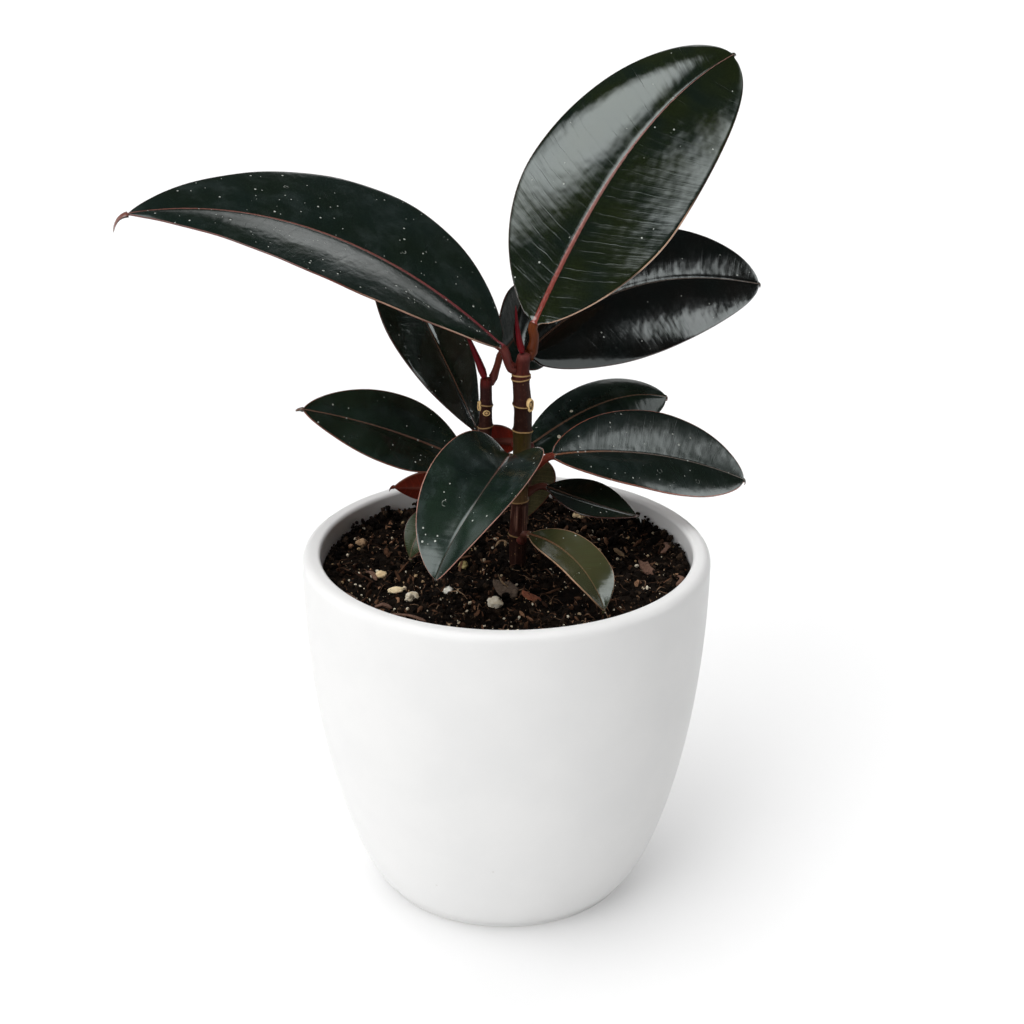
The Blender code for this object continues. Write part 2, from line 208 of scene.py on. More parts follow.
class Surface(Nodes):
    """A material under construction."""

    def __init__(self, name, **sockets):
        self.material = bpy.data.materials.new(name)
        self.material.use_nodes = True
        super().__init__(self.material.node_tree)
        self.colour = None
        self.shader = self.tree.nodes["Principled BSDF"]
        for key, value in sockets.items():
            self.shader.inputs[key.replace("_", " ")].default_value = value

    def attribute(self, name):
        return self.add("ShaderNodeAttribute", attribute_name=name)

    def stored(self, name):
        """The three numbers of a stored vector."""
        return self.parts(self.attribute(name).outputs["Vector"])

    def parts(self, vector):
        node = self.add("ShaderNodeSeparateXYZ")
        self.put(node.inputs[0], vector)
        return node.outputs[0], node.outputs[1], node.outputs[2]

    def joined(self, x, y, z=0.0):
        node = self.add("ShaderNodeCombineXYZ")
        for socket, value in zip(node.inputs, (x, y, z)):
            self.put(socket, value)
        return node.outputs[0]

    def mix(self, share, a, b):
        node = self.add("ShaderNodeMix", data_type="RGBA")
        self.put(node.inputs[0], share)
        self.put(node.inputs[6], a)
        self.put(node.inputs[7], b)
        return node.outputs[2]

    def noise(self, vector, scale, detail=3.0, roughness=0.55):
        node = self.add("ShaderNodeTexNoise")
        self.put(node.inputs["Vector"], vector)
        node.inputs["Scale"].default_value = scale
        node.inputs["Detail"].default_value = detail
        node.inputs["Roughness"].default_value = roughness
        return node.outputs["Fac"]

    def cells(self, vector, scale, feature="F1"):
        node = self.add("ShaderNodeTexVoronoi", feature=feature)
        self.put(node.inputs["Vector"], vector)
        node.inputs["Scale"].default_value = scale
        return node

    def dots(self, vector, scale, outer, core, share):
        """Round dots in this share of the cells, fading from their core to their outer edge."""
        cells = self.cells(vector, scale)
        keep, _, _ = self.parts(cells.outputs["Color"])
        return self.times(self.ramp(cells.outputs["Distance"], outer, core), self.below(keep, share))

    def object_place(self):
        return self.add("ShaderNodeTexCoord").outputs["Object"]

    def bump(self, height, strength, distance, below=None):
        node = self.add("ShaderNodeBump")
        self.put(node.inputs["Height"], height)
        node.inputs["Strength"].default_value = strength
        node.inputs["Distance"].default_value = distance
        if below is not None:
            self.put(node.inputs["Normal"], below)
        return node.outputs[0]

    def paint(self, share, tone):
        """Lay a tone over the colour so far."""
        self.colour = self.mix(share, self.colour, tone)

    def finish(self, roughness, normal):
        for key, value in (("Base Color", self.colour), ("Roughness", roughness), ("Normal", normal)):
            self.put(self.shader.inputs[key], value)
        return self.material


# ------------------------------------------------------------------- materials

SHINE = 0.85          # mirror strength of the waxy upper sides
EDGE_LINE = 0.08      # width of the coloured line on a leaf's edge


def scaled(colour, factor, lift=0.0):
    """A lighter or darker tone of a colour."""
    return tuple(min(1.0, c * factor + lift) for c in colour)


def leaf_top(name, body, patch, rib_base, rib_tip, edge, rib=(0.42, 0.22), cream=(0.0, 0, 1.0), specks=0.5,
             gloss=0.09, dust_and_sheen=0.0, veins=0.5, streaks=1.0, shine=SHINE, ior=1.5, drops=(), seed=0.0):
    """Waxy upper side of a leaf.

    The blade attribute holds (distance from the midrib, place along the side veins, length so far)
    in millimetres, and the share attribute holds (share of the half width, share of the length,
    millimetres inside the edge).
    """
    s = Surface(name, IOR=ior, Specular_IOR_Level=shine, Specular_Tint=(0.92, 1.0, 0.99, 1.0))
    x, w, y = s.stored("blade")
    across, along, inside = s.stored("share")
    away = s.size(x)
    flat = s.joined(x, y, seed)
    streaked = s.joined(s.times(x, 0.09), w, seed)

    # Green body: broad patches, faint side veins and fine streaks beside them
    s.colour = s.mix(s.ramp(s.noise(flat, 0.045, 2.0), 0.35, 0.65), body, patch)
    streak = s.noise(streaked, 0.75, 4.0, 0.6)
    s.paint(s.ramp(streak, 0.45, 0.8, 0.0, 0.35), scaled(body, 1.8, 0.003))
    wander = s.times(s.minus(s.noise(flat, 0.12, 2.0), 0.5), 2.2)
    step = s.math("FRACT", s.over(s.plus(w, wander), VEIN_STEP))
    vein = s.size(s.minus(step, 0.5))
    line = s.ramp(vein, 0.455, 0.49)
    line = s.times(line, s.ramp(across, 0.98, 0.85))
    line = s.times(line, s.ramp(s.noise(streaked, 0.5, 2.0), 0.35, 0.65, 0.0, 1.0))
    s.paint(s.times(line, 0.3), scaled(body, 0.5))

    # Dusty bluish-grey coat in soft clouds: partly dusting, partly a painted sheen
    cloud = s.ramp(s.noise(flat, 0.11, 4.0, 0.6), 0.45, 0.75)
    s.paint(s.times(cloud, dust_and_sheen), (0.10, 0.125, 0.125))

    # Midrib, narrower and duller towards the tip, with small dark nicks
    rib_half = s.ramp(along, 0.0, 0.95, rib[0], rib[1])
    rib_edge = s.plus(away, s.times(s.minus(s.noise(flat, 1.3, 2.0), 0.5), 0.3))
    rib_share = s.ramp(s.over(rib_edge, rib_half), 1.2, 0.75)
    rib_colour = s.mix(s.ramp(along, 0.02, 0.55), rib_base, rib_tip)
    nick = s.noise(s.joined(x, s.times(y, 0.35), seed), 2.0, 3.0)
    rib_colour = s.mix(s.ramp(nick, 0.52, 0.72, 0.0, 0.7), rib_colour, scaled(rib_base, 0.35))
    rib_colour = s.mix(s.ramp(nick, 0.45, 0.25, 0.0, 0.4), rib_colour, scaled(rib_tip, 1.5, 0.02))
    s.paint(rib_share, rib_colour)

    # Thin coloured edge, with a cream line inside it here and there; the cream line, kept to one side of the
    # blade, is a painted highlight where the edge catches the light
    lit_edge_share, lit_edge_side, lit_edge_end = cream
    if lit_edge_share:
        pale = s.times(s.ramp(inside, 0.3, 0.1), s.ramp(s.noise(flat, 0.05, 1.0), 0.3, 0.5, 0.3, lit_edge_share))
        pale = s.times(pale, s.ramp(s.times(x, lit_edge_side), 0.0, 1.0))
        pale = s.times(pale, s.ramp(along, lit_edge_end, lit_edge_end - 0.15))
        # pale is the painted edge highlight
        s.paint(pale, (0.62, 0.38, 0.26))
    rim = s.ramp(inside, EDGE_LINE + 0.1, EDGE_LINE - 0.05)
    rim = s.times(rim, s.ramp(s.noise(flat, 0.2, 3.0), 0.3, 0.6, 0.55, 1.0))
    if lit_edge_share:
        rim = s.times(rim, s.minus(1.0, s.times(pale, 0.75)))
    s.paint(rim, edge)

    # Dried water: small dots, a few of them rings
    dots = s.cells(flat, 0.52)
    keep, pick, _ = s.parts(dots.outputs["Color"])
    size = s.math("MULTIPLY_ADD", s.math("POWER", pick, 2.0), 0.13, 0.085)
    spot = s.ramp(s.over(dots.outputs["Distance"], size), 1.15, 0.75)
    crowd = s.ramp(s.noise(flat, 0.07, 2.0), 0.35, 0.65, 0.25, 1.0)
    spot = s.times(spot, s.below(keep, s.times(crowd, 0.26 * specks)))
    rings = s.cells(s.joined(x, y, seed + 5.0), 0.085)
    ring_keep, ring_size, _ = s.parts(rings.outputs["Color"])
    reach = s.math("MULTIPLY_ADD", ring_size, 0.06, 0.05)
    bent = s.math("MULTIPLY_ADD", s.noise(flat, 0.35, 2.0), 0.12, -0.06)
    off = s.size(s.minus(s.plus(rings.outputs["Distance"], bent), reach))
    ring = s.times(s.ramp(off, 0.013, 0.003), s.below(ring_keep, 0.35 * specks))
    ring = s.times(ring, s.ramp(s.noise(flat, 0.8, 2.0), 0.4, 0.6))
    mark = s.math("MAXIMUM", spot, s.times(ring, 0.5))
    mark = s.times(mark, s.minus(1.0, rim))
    s.paint(s.times(mark, 0.8), (0.55, 0.57, 0.52))

    # Drops of dried milky sap
    for drop_x, drop_y, drop_size in drops:
        off_x = s.minus(x, drop_x)
        off_y = s.minus(y, drop_y)
        off = s.length(off_x, off_y)
        off = s.over(s.plus(off, s.times(s.noise(flat, 0.9, 1.0), 0.25)), drop_size)
        s.paint(s.ramp(off, 1.3, 1.1), (0.72, 0.68, 0.54))
        s.paint(s.ramp(off, 0.55, 0.35, 0.0, 0.75), (0.16, 0.13, 0.08))

    # Shine: dulled along the side veins, on the midrib, on marks and in streaks
    dull = s.times(line, veins)
    dull = s.math("MAXIMUM", dull, s.times(rib_share, 0.35))
    rough = s.ramp(s.noise(flat, 0.16, 4.0, 0.6), 0.3, 0.75, gloss - 0.02, gloss + 0.05)
    rough = s.plus(rough, s.ramp(streak, 0.5, 0.3, 0.0, 0.06 * streaks))
    rough = s.plus(rough, s.times(mark, 0.25))
    rough = s.plus(rough, s.times(dull, 0.2), clamp=True)

    smooth_streak = s.noise(streaked, 0.8, 3.0, 0.6)
    height = s.minus(smooth_streak, s.times(line, 0.32 * veins / max(streaks, 0.3)))
    normal = s.bump(height, 0.8, 0.05 * MM * streaks)
    lumps = s.noise(flat, 0.22, 1.0, 0.5)
    normal = s.bump(s.plus(lumps, s.times(mark, 0.15)), 0.5, 0.25 * MM, normal)
    return s.finish(rough, normal)


def leaf_under(name, body, rib_colour, edge, seed):
    """Duller lower side of a leaf, with a fine net of veins."""
    s = Surface(name, Specular_IOR_Level=0.2)
    vein = scaled(body, 1.7)
    x, w, y = s.stored("blade")
    _, along, inside = s.stored("share")
    away = s.size(x)
    flat = s.joined(x, y, seed)
    s.colour = s.mix(s.ramp(s.noise(flat, 0.08, 3.0), 0.3, 0.7), body, scaled(body, 0.6))
    net = s.cells(flat, 0.8, feature="DISTANCE_TO_EDGE").outputs["Distance"]
    s.paint(s.ramp(net, 0.09, 0.0, 0.0, 0.3), vein)
    step = s.math("FRACT", s.over(w, VEIN_STEP))
    line = s.ramp(s.size(s.minus(step, 0.5)), 0.43, 0.5)
    s.paint(s.times(line, 0.6), vein)
    half = s.ramp(along, 0.0, 1.0, RIB_HALF * 1.4, 0.35)
    rib = s.ramp(s.over(away, half), 1.2, 0.8)
    s.paint(rib, rib_colour)
    s.paint(s.ramp(inside, 0.4, 0.15), edge)
    height = s.plus(s.times(line, 0.6), s.ramp(net, 0.12, 0.0, 0.0, 0.25))
    normal = s.bump(height, 0.6, 0.15 * MM)
    grain = s.ramp(s.noise(flat, 1.6, 3.0), 0.3, 0.7, 0.44, 0.58)
    return s.finish(grain, normal)


def stalk_skin(name, low, high, seed):
    """Smooth reddish skin of a leaf stalk, streaked along its length."""
    s = Surface(name, Specular_IOR_Level=0.15)
    turn, y, _ = s.stored("blade")
    _, along, _ = s.stored("share")
    long_grain = s.noise(s.joined(turn, s.times(y, 0.12), seed), 2.0, 4.0, 0.6)
    s.colour = s.mix(s.ramp(along, 0.0, 1.0), low, high)
    s.paint(s.ramp(long_grain, 0.4, 0.7, 0.0, 0.5), scaled(low, 0.45))
    spot = s.dots(s.joined(turn, y, seed), 0.9, 0.2, 0.1, 0.12)
    s.paint(s.times(spot, 0.5), (0.45, 0.30, 0.20))
    rough = s.ramp(long_grain, 0.3, 0.7, 0.32, 0.5)
    return s.finish(rough, s.bump(long_grain, 0.4, 0.15 * MM))


# ---------------------------------------------------------------------- leaves

VEIN_STEP = 3.8       # spacing of side veins on the longest leaf
RIB_HALF = 1.25       # half width of a midrib at its base
VEIN_LEAN = 0.27      # side veins lean towards the tip by this much a millimetre
VEIN_BOW = 0.004      # and turn further towards it near the edge
EDGE_ROUND = 0.3      # radius of a leaf's edge
EDGE_ARC = (30, 90, 150)
SPINE_STEPS = 240     # short steps that a midrib is laid out in
ROW_STEP = 0.75       # spacing of points along a blade
STALK_STEP = 0.6      # and along a stalk
FLOW_END = 0.02       # the round stalk has become the flat blade at this share of the length
NEAR_BASE = (0.003, 0.007, 0.012)
NEAR_TIP = (0.981, 0.986, 0.990, 0.9935, 0.9965, 0.9985)


def directions(heading, pitch, roll):
    """Forward, left and up directions of a leaf, for arrays of angles in degrees."""
    h, p, r = (np.radians(np.asarray(v, float)) for v in (heading, pitch, roll))
    forward = np.stack([np.cos(p) * np.cos(h), np.cos(p) * np.sin(h), np.sin(p)], -1)
    left = np.stack([-np.sin(h), np.cos(h), 0 * h], -1)
    up = np.cross(forward, left)
    c = np.cos(r)[..., None]
    s = np.sin(r)[..., None]
    return forward, left * c + up * s, up * c - left * s


def half_width(u, widest, shoulder, point):
    """Outline of a blade: share of its greatest half width at each place u along it."""
    rising = np.sin(math.pi / 2 * np.clip(u / widest, 0, 1)) ** shoulder
    falling = np.clip(np.cos(math.pi / 2 * (u - widest) / (1 - widest)), 0, 1) ** point
    return np.where(u < widest, rising, falling)


def round_ring(centre, side, rise, radius, columns, lift=1.0):
    """One ring of points, running the same way round as the rows of a blade."""
    a = math.pi - (np.arange(columns) + 0.5) * 2 * math.pi / columns
    return centre + radius * (np.cos(a)[:, None] * side + lift * np.sin(a)[:, None] * rise)


def tube_map(thing, rows, columns, lengths):
    """Lay a tube of rings out flat, so that baked detail has an even size."""
    layer = thing.data.uv_layers.new(name="OFBake")
    v = np.asarray(lengths, float)
    v = 0.02 + 0.96 * (v - v[0]) / (v[-1] - v[0])
    values = np.zeros((len(thing.data.loops), 2), np.float32)
    i, j = np.meshgrid(np.arange(rows - 1), np.arange(columns), indexing="ij")
    left = 0.01 + 0.98 * j / columns
    right = 0.01 + 0.98 * (j + 1) / columns
    corners = np.stack([np.stack([left, v[i]], -1), np.stack([right, v[i]], -1),
                        np.stack([right, v[i + 1]], -1), np.stack([left, v[i + 1]], -1)], 2)
    values[:(rows - 1) * columns * 4] = corners.reshape(-1, 2)
    layer.data.foreach_set("uv", values.ravel())


def leaf(node, stem, root_z, root_turn, base, heading, pitch, length, width, looks,
         arch=0, arch2=0, sway=0, sway2=0, roll=0, twist=0, fold=(14, 14), curl=(-10, -10), ease=0,
         widest=0.5, shoulder=0.72, point=0.85, stalk=1.3, climb=0.35, drip=3.0, drip_width=1.0, thick=1.0,
         wave=0.08, ripple=0.02, lump=0.12, crease=-0.5, belly=0.0, slot="dark_leaf", seed=1):
    """One leaf with its stalk, on the same midrib and outline as its CAD node.

    Angles are degrees. arch, sway and twist are the changes of pitch, heading and roll along the blade,
    with arch2 and sway2 growing as the square of the way along. fold and curl tilt and bend each half,
    and ease lets the curl change along the blade. widest is the place of the greatest width, shoulder
    and point shape the outline before and after it. stalk is its radius, climb its first rise and drip
    the length of the drip tip. wave, ripple, lump, crease and belly are heights of the fine shape in mm.
    """
    top, under, stalk_look = looks
    base = np.array(base, float)
    forward, left, _ = directions(heading, pitch, roll)

    # Rows along the blade and columns across it
    rows = max(40, int(length / ROW_STEP))
    us = np.concatenate([NEAR_BASE, np.linspace(FLOW_END, 0.975, rows), NEAR_TIP])
    n = max(25, int(width * 0.95)) | 1
    t = np.linspace(-1, 1, n)
    spread = np.sign(t) * (0.55 * np.abs(t) + 0.45 * np.abs(t) ** 2)
    columns = 2 * n + 2 * len(EDGE_ARC)

    # Midrib
    middle = (np.arange(SPINE_STEPS) + 0.5) / SPINE_STEPS
    ahead = directions(heading + sway * middle + sway2 * middle**2,
                       pitch + arch * middle + arch2 * middle**2, 0 * middle)[0]
    track = base + np.vstack([np.zeros(3), np.cumsum(ahead, 0) * length / SPINE_STEPS])
    grid = np.arange(SPINE_STEPS + 1) / SPINE_STEPS
    centre = np.stack([np.interp(us, grid, track[:, k]) for k in range(3)], -1)
    ahead, side, rise = directions(heading + sway * us + sway2 * us**2,
                                   pitch + arch * us + arch2 * us**2, roll + twist * us)

    half = np.maximum(width / 2 * half_width(us, widest, shoulder, point), 0.75)
    edge = np.minimum(EDGE_ROUND, 0.4 * half)
    share = spread[None, :] * (1 - edge / half)[:, None]
    tilt = np.radians(np.where(share > 0, fold[0], fold[1]) * (1 - 0.5 * us)[:, None])
    bend = np.radians(np.where(share > 0, curl[0], curl[1]) * (1 + ease * (us - 0.5))[:, None])
    bend = np.where(bend == 0, 0.001, bend)
    a = np.abs(share)
    across = half[:, None] * (np.sin(tilt + bend * a) - np.sin(tilt)) / bend * np.sign(share)
    raised = -half[:, None] * (np.cos(tilt + bend * a) - np.cos(tilt)) / bend
    x = share * half[:, None]
    y = (us * length)[:, None] + 0 * x
    vein_scale = VEIN_STEP / (2.2 + 1.6 * length / 130)
    w = (y - VEIN_LEAN * np.abs(x) - VEIN_BOW * x * x) * vein_scale

    # Fine shape: side veins, slow lumps, wavy edge and the channel of the midrib
    away = np.abs(x)
    settle = (np.clip(us / 0.06, 0, 1) * np.clip((1 - us) / 0.05, 0, 1))[:, None]
    body = np.clip(away / 3.0, 0, 1) * np.clip((1 - a) / 0.12, 0, 1) * settle
    shape = ripple * body * (np.abs(np.sin(math.pi * w / VEIN_STEP)) ** 0.6 - 0.6) * 1.6
    spots = np.stack([x, y, 0 * x], -1).reshape(-1, 3)
    shape += lump * settle * noise_at(spots, 17.0, seed).reshape(x.shape) * np.clip(away / 6, 0, 1)
    shape += 0.22 * lump * settle * noise_at(spots, 5.0, seed + 3).reshape(x.shape) * np.clip(away / 3, 0, 1)
    shape += belly * settle * np.sin(math.pi * a) * (share > 0)
    shape += wave * settle * a**3 * np.sin(2 * math.pi * (y / 24.0 + 0.13 * seed) + np.sign(x) * 1.3)
    rib = (0.5 * RIB_HALF * stalk / 1.3) * (1 - 0.6 * us)[:, None]
    channel = crease * np.exp(-(x / (2.6 * rib)) ** 2) + 0.34 * np.exp(-(x / (1.0 * rib)) ** 2)
    channel = channel * (1 - 0.55 * us)[:, None] * settle
    sheet = thick * (1 - 0.4 * a) / 2
    keel = (1.2 * stalk * (1 - us))[:, None] * np.exp(-(x / (1.15 * stalk * (1 - 0.55 * us))[:, None]) ** 2)

    flat = centre[:, None] + across[..., None] * side[:, None]
    upper = flat + (raised + shape + channel + sheet)[..., None] * rise[:, None]
    lower = flat + (raised + shape - sheet - keel)[..., None] * rise[:, None]

    def rim(column, sign):
        """Rounded edge between the upper and lower sides."""
        middle_line = (upper[:, column] + lower[:, column]) / 2
        thin = np.linalg.norm(upper[:, column] - lower[:, column], axis=-1)[:, None] / 2
        lean = tilt[:, column] + bend[:, column]
        out = sign * np.cos(lean)[:, None] * side + np.sin(lean)[:, None] * rise
        over = unit(upper[:, column] - lower[:, column])
        points = []
        for turn in EDGE_ARC:
            c = math.cos(math.radians(turn))
            s = math.sin(math.radians(turn))
            points.append(middle_line + c * thin * over + s * edge[:, None] * out)
        return points

    right_rim = np.stack(rim(n - 1, 1), 1)
    left_rim = np.stack(rim(0, -1)[::-1], 1)
    blade = np.concatenate([upper, right_rim, lower[:, ::-1], left_rim], 1)

    # The round stalk flows into the blade over its first rows
    for i, u in enumerate(us):
        if u >= FLOW_END:
            break
        flow = u / FLOW_END
        flow = flow * flow * (3 - 2 * flow)
        ring = round_ring(centre[i], side[i], rise[i], stalk, columns)
        blade[i] = ring * (1 - flow) + blade[i] * flow

    # Stalk
    stem_centre, stem_radius = stem_point(stem, root_z)
    out = level_way(root_turn)
    foot = stem_centre + (stem_radius + 0.35) * out
    reach = np.linalg.norm(base - foot)
    lift = out + np.array([0.0, 0.0, climb])
    steps = max(12, int(reach / STALK_STEP))
    path = bezier(foot, foot + 0.35 * reach * lift, base - 0.35 * reach * forward, base, steps)
    path = np.vstack([foot - 0.9 * out, path[:-1]])
    stalk_rings = []
    for i, spot in enumerate(path):
        way = unit(path[min(i + 1, len(path) - 1)] - path[max(i - 1, 0)]) if i > 1 else out
        across_way = unit(left - way * np.dot(left, way))
        over = np.cross(way, across_way)
        gone = max(0.0, (i - 1) / steps)
        swell = 1 + 0.35 * math.exp(-((gone * reach) / 1.6) ** 2)
        ring = round_ring(spot, across_way, over, stalk * swell, columns)
        groove = np.exp(-((np.arange(columns) - n / 2) / (columns * 0.035)) ** 2) * 0.22 * stalk * gone
        stalk_rings.append(ring - groove[:, None] * over)
    stalk_rings = np.array(stalk_rings)

    # Drip tip
    tip_ahead, tip_side, tip_rise = ahead[-1], side[-1], rise[-1]
    tip_rings = []
    for q in (0.0, 0.12, 0.25, 0.4, 0.55, 0.7, 0.82, 0.92, 0.98, 1.0):
        size = np.interp(q, (0, 0.3, 0.9, 0.97, 1.0), (1.0, 0.72, 0.46, 0.34, 0.1))
        spot = track[-1] + drip * q * (1 - 0.4 * q) * tip_ahead - 0.7 * drip * q**2 * tip_rise
        tip_rings.append(round_ring(spot, tip_side * drip_width, tip_rise, size, columns, 0.7))
    tip_rings = np.array(tip_rings)

    rings = np.concatenate([stalk_rings, blade, tip_rings])
    total = len(rings)

    # Which face is stalk, upper side or lower side
    slots = np.zeros((total - 1, columns), np.int32)
    slots[:, n + 1:2 * n + 2] = 1
    slots[:len(stalk_rings)] = 2
    slots = np.append(slots.ravel(), (2, 1))
    faces = capped_tube(total, columns)
    thing = make_mesh(node + "_blade", rings.reshape(-1, 3), faces, (top, under, stalk_look), slots)

    def all_round(values):
        """Carry values of the upper side on, round the right edge, below and round the left edge."""
        corners = len(EDGE_ARC)
        right = np.repeat(values[:, -1:], corners, 1)
        left = np.repeat(values[:, :1], corners, 1)
        return np.concatenate([values, right, values[:, ::-1], left], 1)

    # Attributes for the materials
    place = np.zeros((total, columns, 3), np.float32)
    shares = np.zeros((total, columns, 3), np.float32)
    first = len(stalk_rings)
    last = first + len(us)
    row_x = all_round(x)
    row_a = all_round(a)
    row_a[:, n:n + len(EDGE_ARC)] = 1.0
    row_a[:, -len(EDGE_ARC):] = 1.0
    place[first:last, :, 0] = row_x
    place[first:last, :, 1] = all_round(w)
    place[first:last, :, 2] = (us * length)[:, None]
    shares[first:last, :, 0] = row_a
    shares[first:last, :, 1] = us[:, None]
    shares[first:last, :, 2] = np.clip(half[:, None] - np.abs(row_x) - edge[:, None], 0, 4)
    place[:first, :, 0] = (np.arange(columns) / columns - 0.25) * 2 * math.pi * stalk
    place[:first, :, 2] = run_along(path)[:, None]
    shares[:first, :, 1] = np.linspace(0, 1, first)[:, None]
    shares[:first, :, 2] = 4.0
    place[last:, :, 0] = row_x[-1]
    place[last:, :, 2] = length
    shares[last:, :, :2] = 1.0
    shares[last:, :, 2] = np.where(np.abs(row_x[-1]) < 0.5, 1.0, 0.0)
    store(thing, "blade", place.reshape(-1, 3))
    store(thing, "share", shares.reshape(-1, 3))

    centres = np.vstack([path, centre, track[-1:] + np.zeros((len(tip_rings), 3))])
    run = np.concatenate([[0], np.cumsum(np.linalg.norm(np.diff(centres, axis=0), axis=1) + 0.05)])
    tube_map(thing, total, columns, run)
    tie(thing, node)


# ----------------------------------------------------------------------- stems

# Points up the middle of each stem: (x, y, z, radius), as in the CAD
MAIN_STEM = (
    (4, 5, 126, 3.1), (4.2, 5, 137, 3.2), (4.2, 5, 138.5, 3.6), (4.3, 5, 140, 3.2),
    (4.6, 5, 150, 3.0), (4.7, 5, 151.5, 3.2), (4.8, 5, 153, 2.9), (5.2, 5.2, 168, 3.1),
    (5.5, 5.3, 177.5, 3.4), (5.6, 5.3, 179, 3.6), (5.6, 5.4, 180.5, 3.3), (5.7, 5.5, 187.5, 3.3),
    (5.6, 5.5, 189, 3.5), (5.4, 5.5, 190.5, 3.3), (4.8, 5.5, 198, 3.0), (4.8, 5.5, 199.5, 3.1),
    (4.9, 5.5, 201, 2.7), (5.8, 5.5, 207, 2.5), (6.0, 5.5, 208.5, 2.3),
)
SECOND_STEM = (
    (-16, 23, 126, 2.9), (-13.4, 18.9, 138, 2.7), (-13.1, 18.4, 139.5, 3.0), (-12.8, 17.9, 141, 2.6),
    (-9.4, 12.6, 157, 2.5), (-8.4, 10, 171, 2.4), (-8.0, 9.3, 177.5, 2.4), (-7.9, 9.2, 179, 2.8),
    (-7.9, 9.1, 180.5, 2.4), (-7.9, 9, 186, 2.3), (-7.8, 9, 187.5, 2.5), (-7.8, 9, 189, 2.2),
    (-7.8, 9, 196, 2.2), (-7.8, 9, 198, 2.0),
)


SPUR_SIDES = 10
SPUR_SHARES = (0, 0.3, 0.6, 0.85, 1.0)
SPUR_MARK = 0.72      # the corky brown of a scar's middle
BARK_STEP = 0.33      # spacing of rings of points along a stem


def stem_point(axis, z):
    """Centre and radius of a stem at one height."""
    table = np.array(axis, float)
    found = [float(np.interp(z, table[:, 2], table[:, k])) for k in (0, 1, 2, 3)]
    return np.array(found[:3]), found[3]


